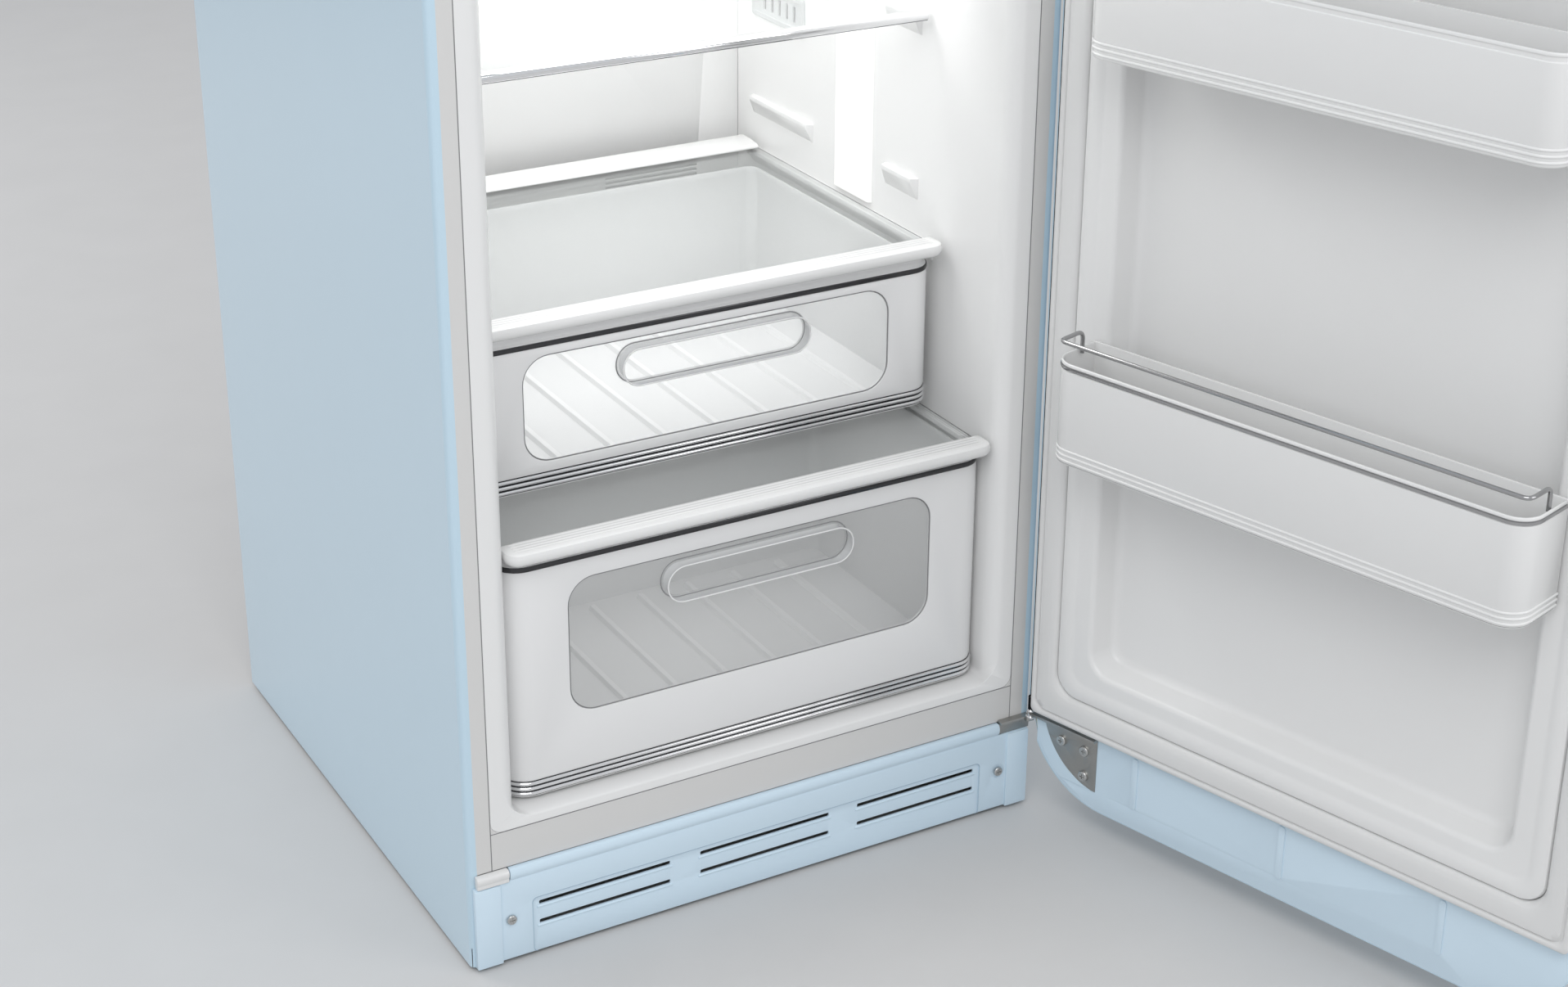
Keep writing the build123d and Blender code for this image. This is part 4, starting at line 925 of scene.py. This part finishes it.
def drawer_tub(name, low, high, window):
    """The frosted tub with its floor and ribs."""
    body = f"{name}_drawer"
    y, z0, z1 = low.y, low.z, high.z
    _, tub_high = span(f"{name}_drawer_tub")
    inset = 3.1
    path = tub_path(high.x - inset, y + inset, tub_high.y, DRAWER_CORNER - inset, 14)
    wall = [
        (0, z0 + 1),
        (0, z1 - 17),
        (-1.7, z1 - 14),
        (-1.7, z1 - 8),
        (-4, z1 - 8),
        (-4, z1 - 14.6),
        (-2.4, z1 - 17.6),
        (-2.4, z0 + 1),
    ]
    tub = make(f"{name}_tub", [sweep_mesh(path, wall, close=True)], FROSTED)
    carve(tub, [prism_mesh(window, y - 4, y + 8)])
    place(bevel(tub, 0.6), body, "clear_plastic", f"{name}_drawer_tub")
    plate = make(f"{name}_tub_floor", [floor_mesh(path, 2.0, z0 + 1.2, z0 + 3.4)], FROSTED)
    place(plate, body, "clear_plastic")
    ribs = []
    for rib in range(8):
        x = -189 + 54 * rib
        profile = [(x - 4.5, z0 + 3.2), (x - 2.5, z0 + 7.5), (x + 2.5, z0 + 7.5), (x + 4.5, z0 + 3.2)]
        rings = [at_y(profile, y + 26), at_y(profile, tub_high.y - 16)]
        ribs.append(rings_mesh(rings, caps=(True, True)))
    place(make(f"{name}_floor_ribs", ribs, RIB_AND_HIGHLIGHT_WHITE), body, "clear_plastic")


def drawer_window(name, y, window, pane):
    """The clear pane in the front's window and a dark ring of painted shade in the seam round it."""
    body = f"{name}_drawer"
    # A dark ring behind the gap round the pane: painted shade
    seam = [at_y(window, y + 1.4), at_y(blend_loops(window, pane, 1.3), y + 1.4)]
    place(make(f"{name}_window_seam_shade", [rings_mesh(seam)], SEAM_AND_SHADE_GREY), body, "clear_plastic")
    piece = make(f"{name}_window", [prism_mesh(pane, y + 0.7, y + 3.3)], CLEAR)
    place(bevel(piece, 0.6), body, "clear_plastic")


def handle_loop(centre, grow):
    """The handle's long round outline, in front view."""
    half_x, half_z = HANDLE_HALF
    x, z = half_x + grow, half_z + grow
    return round_loop(-x, x, centre - z, centre + z, half_z - 0.5 + grow, steps=12)


def drawer_handle(name, y, centre):
    """The clear loop handle with a painted highlight line at its rim and a painted shade line at its
    root.
    """
    body = f"{name}_drawer"
    outline = [
        (1.8, y + 0.6),
        (1, y - 1.4),
        (0.2, y - 12),
        (-0.6, y - 13),
        (-1.6, y - 12),
        (-1.8, y + 0.6),
    ]
    rings = [at_y(handle_loop(centre, grow), depth) for grow, depth in outline]
    loop = make(f"{name}_handle", [rings_mesh(rings, close=True)], HANDLE_CLEAR, 50)
    place(loop, body, "clear_plastic", f"{name}_drawer_handle")
    # The rim line is a painted highlight, the root line painted shade
    lines = (("rim", y - 13, -0.4, 0.7, RIB_AND_HIGHLIGHT_WHITE), ("root", y + 0.3, 0.6, 0.5, SEAM_AND_SHADE_GREY))
    for part, depth, grow, wide, material in lines:
        ring = [
            at_y(handle_loop(centre, grow + wide), depth + 0.4),
            at_y(handle_loop(centre, grow), depth),
            at_y(handle_loop(centre, grow - wide), depth + 0.4),
        ]
        place(make(f"{name}_handle_{part}", [rings_mesh(ring)], material, 50), body, "clear_plastic")


def drawer_lines(name, path, z0, z1):
    """Three bright lines low on the front with painted shade between them, and a dark strip under its top
    edge as painted reflection.
    """
    body = f"{name}_drawer"
    beads = [sweep_mesh(path, bead(z0 + 4 + 5 * i, 1.75, 1.5)) for i in range(3)]
    lines = make(f"{name}_bright_lines", beads, CHROME, 40)
    place(lines, body, "bright_metal", f"{name}_drawer_strips")
    # The strip is chrome made dark to stand in for a dark reflection: painted reflection
    band = [
        (-1.4, z1 - 13),
        (0.1, z1 - 13),
        (0.5, z1 - 12),
        (0.5, z1 - 9.4),
        (0.1, z1 - 8.4),
        (-1.4, z1 - 8.4),
    ]
    # Dark fill between the bright lines: painted shade
    gap_shade = [(-1.2, z0 + 1.6), (-0.1, z0 + 1.6), (-0.1, z0 + 16.4), (-1.2, z0 + 16.4)]
    parts = [sweep_mesh(path, band), sweep_mesh(path, gap_shade)]
    strips = make(f"{name}_dark_reflection_strip", parts, DARK_REFLECTION_AND_SHADE, 40)
    place(strips, body, "bright_metal")


def drawer(name, sill, head):
    """A drawer: its window is the sill above the front's bottom and the head below its top."""
    low, high = span(f"{name}_drawer_front")
    path = front_path(high.x, low.y, DRAWER_CORNER, high.y - low.y)
    half, z0, z1 = WINDOW_HALF, low.z + sill, high.z - head
    window = round_loop(-half, half, z0, z1, WINDOW_CORNER)
    pane = round_loop(1 - half, half - 1, z0 + 1, z1 - 1, WINDOW_CORNER - 1)
    drawer_front(name, path, low, high, window)
    drawer_tub(name, low, high, window)
    drawer_window(name, low.y, window, pane)
    drawer_handle(name, low.y, z1 - 24)
    drawer_lines(name, path, low.z, high.z)


# Inside fittings


def light_cover():
    """The tall frosted cover of the light on the right wall."""
    low, high = span("light_cover")
    loop = [
        (low.y, high.x),
        (low.y + 2, low.x + 0.8),
        (low.y + 5, low.x),
        (high.y - 5, low.x),
        (high.y - 2, low.x + 0.8),
        (high.y, high.x),
    ]
    rings = [[(x, y, z) for y, x in loop] for z in (low.z, low.z + 4, high.z - 4, high.z)]
    cover = make("light_diffuser", [rings_mesh(rings, caps=(True, True))], DIFFUSER, 60)
    place(cover, "cabinet", "light_diffuser", "light_cover")


def vent_panel():
    """The grey outlet on the right wall, five slots with a frame, and a dark sheet of painted shade
    behind the slots.
    """
    (y0, y1), (z0, z1) = VENT_Y, VENT_Z
    rings = []
    for grow, out in ((0, 0), (0, 2), (-1.2, 3), (-5, 3), (-6, 2.2)):
        loop = round_loop(y0 - grow, y1 + grow, z0 - grow, z1 + grow, 4)
        rings.append([(WALL - out, y, z) for y, z in loop])
    panel = make("side_vent", [rings_mesh(rings, caps=(True, True))], GREY_PLASTIC, 30)
    slots = []
    for i in range(5):
        y = y0 + 19 + 15 * i
        loop = round_loop(y - 2.5, y + 2.5, z0 + 10, z1 - 10, 1.5, steps=3)
        ends = [[(WALL - out, a, b) for a, b in loop] for out in (6, 0.6)]
        slots.append(rings_mesh(ends, caps=(True, True)))
    carve(panel, slots)
    place(panel, "cabinet", "grey_plastic")
    # A dark sheet behind the slots for the shade inside the outlet: painted shade
    backing = box_mesh(WALL - 0.7, WALL - 0.2, y0 + 13, y1 - 22, z0 + 7, z1 - 7)
    place(make("side_vent_dark", [backing], BLACK_PLASTIC_AND_SHADE), "cabinet", "black_plastic")


def back_cover():
    """The flat cover across the fridge's back wall, with air slots low down and higher up."""
    y = BACK_COVER_Y
    plate = round_loop(-249.4, 249.4, 227.6, 1185.4, 4)
    cover = make("air_cover", [prism_mesh(plate, y, y + 3)], LINER_WHITE)
    slots = []
    for x0, x1 in AIR_SPANS:
        for z in AIR_HEIGHTS:
            loop = round_loop(x0, x1, z - 1.2, z + 1.2, 1.1, steps=3)
            slots.append(prism_mesh(loop, y - 4, y + 8))
    carve(cover, slots)
    bevel(cover, 0.5)
    place(cover, "cabinet", "white_liner", "air_covers")


def evaporator_cover():
    """The white panel in front of the freezer's coil, with slots and the fan's grille."""
    low, high = span("freezer_liner")
    z0, z1 = low.z + 39, high.z - 40
    plate = round_loop(-242, 242, z0, z1, 8)
    panel = make("evaporator_panel", [prism_mesh(plate, 94, 99)], TRIM_WHITE)
    slots = []
    for row in range(4):
        for x in (-150, 0, 150):
            z = z0 + 20 + 12 * row
            loop = round_loop(x - 55, x + 55, z - 2.5, z + 2.5, 2.4, steps=4)
            slots.append(prism_mesh(loop, 90, 102))
    for ring in range(3):
        outer = 18 + 16 * ring
        for quarter in range(4):
            start, end = 90 * quarter + 8, 90 * quarter + 82
            shape = arc(0, 1540, outer + 8, start, end, 8) + arc(0, 1540, outer, end, start, 8)
            slots.append(prism_mesh(shape, 90, 102))
    carve(panel, slots)
    bevel(panel, 0.6)
    place(panel, "cabinet", "white_trim")


# Doors


def field_loop(door, inset):
    """The outline of a door liner's raised field, drawn in by an inset."""
    half = FIELD_HALF - inset
    z0, z1 = DOORS[door]["z"]
    top_corner = max(DOORS[door]["radius"] - 28, 24)
    return round_loop(-half, half, z0 + 32 + inset, z1 - 28 - inset,
                      24 - inset * 0.4, top_corner - inset * 0.4)


def recess_loop(door, inset):
    """The outline of a door liner's recess, drawn in by an inset."""
    half = RECESS_HALF - inset
    z0, z1 = DOORS[door]["recess"]
    corner = 22 - inset if inset < 0 else 22 - inset * 0.5
    return round_loop(-half, half, z0 + inset, z1 - inset, corner)


def door_liner(door):
    """The white inner panel: raised field, stepped edge and a deep recess with soft corners."""
    z0, z1 = DOORS[door]["z"]
    base = round_loop(-LINER_HALF, LINER_HALF, z0, z1, 6, DOORS[door]["radius"])
    rings = [at_y(base, DOOR_IN - 3), at_y(base, DOOR_IN), at_y(field_loop(door, 0), DOOR_IN)]
    edge = ((0.4, -3), (1.4, -0.8), (3.5, 0), (14, 0), (16.5, -1.4), (20, -1.8))
    rings += [at_y(field_loop(door, inset), PANEL_Y + rise) for inset, rise in edge]
    turn = [radians(15 * i) for i in range(7)]
    for a in turn:
        rings.append(at_y(recess_loop(door, 6 * (sin(a) - 1)), PANEL_Y - 1.8 - 6 * (1 - cos(a))))
    for a in turn:
        rings.append(at_y(recess_loop(door, 5 + 9 * (1 - cos(a))), RECESS_Y + 9 - 9 * sin(a)))
    return make(door + "_liner_panel", [rings_mesh(rings, caps=(False, True))], LINER_WHITE, 32)


def gasket(door):
    """The magnetic seal: a flat bulb over a thin fold."""
    z0, z1 = DOORS[door]["z"]
    radius = DOORS[door]["radius"]
    half = FIELD_HALF + 0.4
    inner = round_loop(-half, half, z0 + 31.6, z1 - 27.6, 23.6, max(radius - 28, 24))
    outer = round_loop(-LINER_HALF, LINER_HALF, z0, z1, 6, radius)
    profile = [
        (0.0, 0.1),
        (0.0, 5.5),
        (0.05, 8.6),
        (0.14, 10.4),
        (0.3, 11.2),
        (0.58, 11.5),
        (0.7, 11.0),
        (0.735, 8.6),
        (0.77, 8.2),
        (0.8, 10.0),
        (0.86, 11.0),
        (0.95, 10.6),
        (1.0, 8.8),
        (0.99, 4.0),
        (0.95, 0.1),
    ]
    rings = [at_y(blend_loops(inner, outer, share), DOOR_IN + rise) for share, rise in profile]
    return make(door + "_gasket_seal", [rings_mesh(rings, close=True)], GASKET, 50)


def door_linings():
    """Both doors' inner panels, then their seals; the fridge door's are swung open."""
    for build, slot, suffix in ((door_liner, "white_liner", "_liner"), (gasket, "gasket", "_gasket")):
        for door in DOORS:
            piece = build(door)
            if door == "fridge_door":
                opened(piece)
            place(piece, door, slot, door + suffix)


def bin_path(half, y0, y1, radius):
    """A plan path from a bin's back left, round its front, to its back right."""
    left = plan_corner(-half + radius, y1 - radius, radius, 180, 90)
    right = plan_corner(half - radius, y1 - radius, radius, 90, 0)
    return [(-half, y0, -1, 0)] + left + right + [(half, y0, 1, 0)]


def door_bin(node):
    """A moulded bin with a rolled rim and three lines low on its face."""
    body = node + "_body"
    half, z0, z1, y1 = BINS[node]
    y0 = PANEL_Y + 1.5
    path = bin_path(half, y0, y1, 22)
    wall = [
        (0, z0 + 2),
        (0, z1 - 8),
        (-0.9, z1 - 7),
        (-0.9, z1 - 3.6),
        (0, z1 - 2.8),
        (-0.2, z1 - 0.8),
        (-1.2, z1),
        (-2.2, z1 - 0.6),
        (-2.6, z1 - 3),
        (-3.4, z0 + 2),
        (-2, z0),
        (-1, z0),
    ]
    parts = [
        sweep_mesh(path, wall),
        floor_mesh(path, 1.5, z0, z0 + 2.5),
        box_mesh(-half, half, y0, y0 + 2.5, z0, z1),
    ]
    piece = bevel(make(node + "_moulding", parts, TRIM_WHITE), 0.4, angle=45)
    place(opened(piece), body, "white_trim", node)
    lines = [sweep_mesh(path, bead(z0 + 4 + 5 * i, 1.4, 0.9)) for i in range(3)]
    place(opened(make(node + "_lines", lines, TRIM_WHITE, 40)), body, "white_trim")


def bin_trim():
    """The bottle bin's bright band under its rim and painted shade in the gaps between its lines."""
    half, z0, z1, y1 = BINS["bottle_bin"]
    path = bin_path(half, PANEL_Y + 1.5, y1, 22)
    band = [(-0.9, z1 - 7), (0.4, z1 - 6.6), (0.6, z1 - 5.3), (0.4, z1 - 4), (-0.9, z1 - 3.6)]
    # Dark fill between the lines: painted shade
    gap_shade = [(-0.8, z0 + 1.6), (-0.05, z0 + 1.6), (-0.05, z0 + 16.4), (-0.8, z0 + 16.4)]
    for part, profile, material in (("band", band, STRIP_METAL), ("gap_shade", gap_shade, DARK_REFLECTION_AND_SHADE)):
        piece = make("bottle_bin_" + part, [sweep_mesh(path, profile)], material, 40)
        place(opened(piece), "bottle_bin_body", "bright_metal")


def bin_rail():
    """The bright wire above the bottle bin's rim."""
    half, _, z1, y1 = BINS["bottle_bin"]
    top, y, foot, x = z1 + 17, y1 - 4.8, y1 - 38, half - 5
    points = [
        (-x, foot, z1 - 4),
        (-x, foot, top),
        (-x, y, top),
        (x, y, top),
        (x, foot, top),
        (x, foot, z1 - 4),
    ]
    wire = opened(make("bottle_bin_wire", [tube_mesh(points, 2.0, 8)], STRIP_METAL, 60))
    place(wire, "bottle_bin_body", "bright_metal", "bottle_bin_rail")


def hinge_plate_band():
    """The skirt's blue band between the hinge plate's curved side and the skirt's outline."""
    outer = arc(218, 110, 71.6, -4.8, -56.9, 16)
    inner = arc(206.5, 123, 74, -80.6, -14.9, 20)
    parts = [prism_mesh(outer + inner, DOOR_IN - 0.5, DOOR_IN + 0.9)]
    band = make("hinge_plate_band", parts, PASTEL_PLASTIC)
    place(opened(band), "fridge_door", "pastel_plastic")


def pin_ball():
    """The bright collar on the lower hinge pin."""
    x, y = HINGE
    profile = [
        (2.4, 101),
        (4.6, 101.3),
        (5.2, 102.4),
        (5.2, 103.4),
        (4.2, 104.4),
        (4.9, 106.4),
        (4.4, 109.4),
        (2.6, 111.6),
        (0.4, 112.2),
    ]
    turn = [2 * pi * k / 20 for k in range(20)]
    rings = [[(x + r * cos(a), y + r * sin(a), z) for a in turn] for r, z in profile]
    ball = make("hinge_pin_collar", [rings_mesh(rings, caps=(True, True))], CHROME, 40)
    place(ball, "cabinet", "screw_steel")


# Stage


def soft_light(name, spot, target, size, power):
    """A large soft lamp that faces a target."""
    data = bpy.data.lights.new(name, "AREA")
    data.shape = "RECTANGLE"
    data.size, data.size_y = size
    data.energy = power
    lamp = bpy.data.objects.new(name, data)
    bpy.context.scene.collection.objects.link(lamp)
    lamp.location = spot
    lamp.rotation_euler = (Vector(target) - Vector(spot)).to_track_quat("-Z", "Y").to_euler()


def floor():
    """A plain pale floor."""
    mesh = bpy.data.meshes.new("floor")
    mesh.from_pydata([(-6, -6, 0), (6, -6, 0), (6, 6, 0), (-6, 6, 0)], [], [(0, 1, 2, 3)])
    plane = bpy.data.objects.new("floor", mesh)
    bpy.context.scene.collection.objects.link(plane)
    pale = finish("studio_floor", (0.62, 0.615, 0.61), 0.65, mottle=0.03, grain=60.0, depth=1e-4)
    mesh.materials.append(pale)


def world(strength):
    """An even, slightly cool surround."""
    scene = bpy.context.scene
    scene.world = bpy.data.worlds.new("studio")
    scene.world.use_nodes = True
    sky = scene.world.node_tree.nodes["Background"]
    sky.inputs["Color"].default_value = (0.93, 0.95, 0.98, 1)
    sky.inputs["Strength"].default_value = strength


def camera():
    """The view from the front left, a little above."""
    data = bpy.data.cameras.new("camera")
    eye = bpy.data.objects.new("camera", data)
    bpy.context.scene.collection.objects.link(eye)
    eye.location = (-1.0248, -2.1335, 1.3973)
    eye.rotation_euler = (radians(66.754), radians(-0.408), radians(-29.721))
    data.lens = 59.72
    data.shift_x = -0.0064
    data.shift_y = -0.0569
    data.clip_start = 0.05
    bpy.context.scene.camera = eye


# Each lamp's place, target and size in metres, and its power in watts
LAMPS = {
    "key": ((-1.2, -2.4, 3.0), (0, -0.2, 0.6), (2.4, 1.8), 42),
    "fill": ((1.9, -2.6, 1.6), (0, -0.2, 0.6), (1.8, 1.8), 16),
    "back": ((-1.6, 2.6, 2.2), (0, 0, 0.9), (2.0, 2.0), 26),
    "upper_drawer": ((0, -0.03, 0.552), (0, -0.03, 0), (0.36, 0.2), 0.2),
    "lower_drawer": ((0, -0.12, 0.386), (0, -0.12, 0), (0.36, 0.2), 0.17),
    "inside": ((0, 0.05, 1.14), (0, 0.07, 0), (0.44, 0.26), 2.2),
    "glow": ((0.0, -0.16, 0.95), (0.06, 0.3, 0.74), (0.34, 0.24), 0.85),
}
SURROUND = 0.72

camera()
floor()
world(SURROUND)
for lamp_name, lamp in LAMPS.items():
    soft_light(lamp_name, *lamp)
bpy.context.scene.view_settings.view_transform = "Standard"

finish_nodes()
soften_nodes()
fridge_liner()
freezer_liner()
seams()
plinth()
hinge_blank()
back_panels()
shelf_trims()
shelf_strips()
drawer("lower", 73, 31)
drawer("upper", 26, 21)
light_cover()
vent_panel()
back_cover()
evaporator_cover()
door_linings()
door_bin("bottle_bin")
bin_trim()
door_bin("middle_bin")
door_bin("dairy_bin")
bin_rail()
hinge_plate_band()
pin_ball()
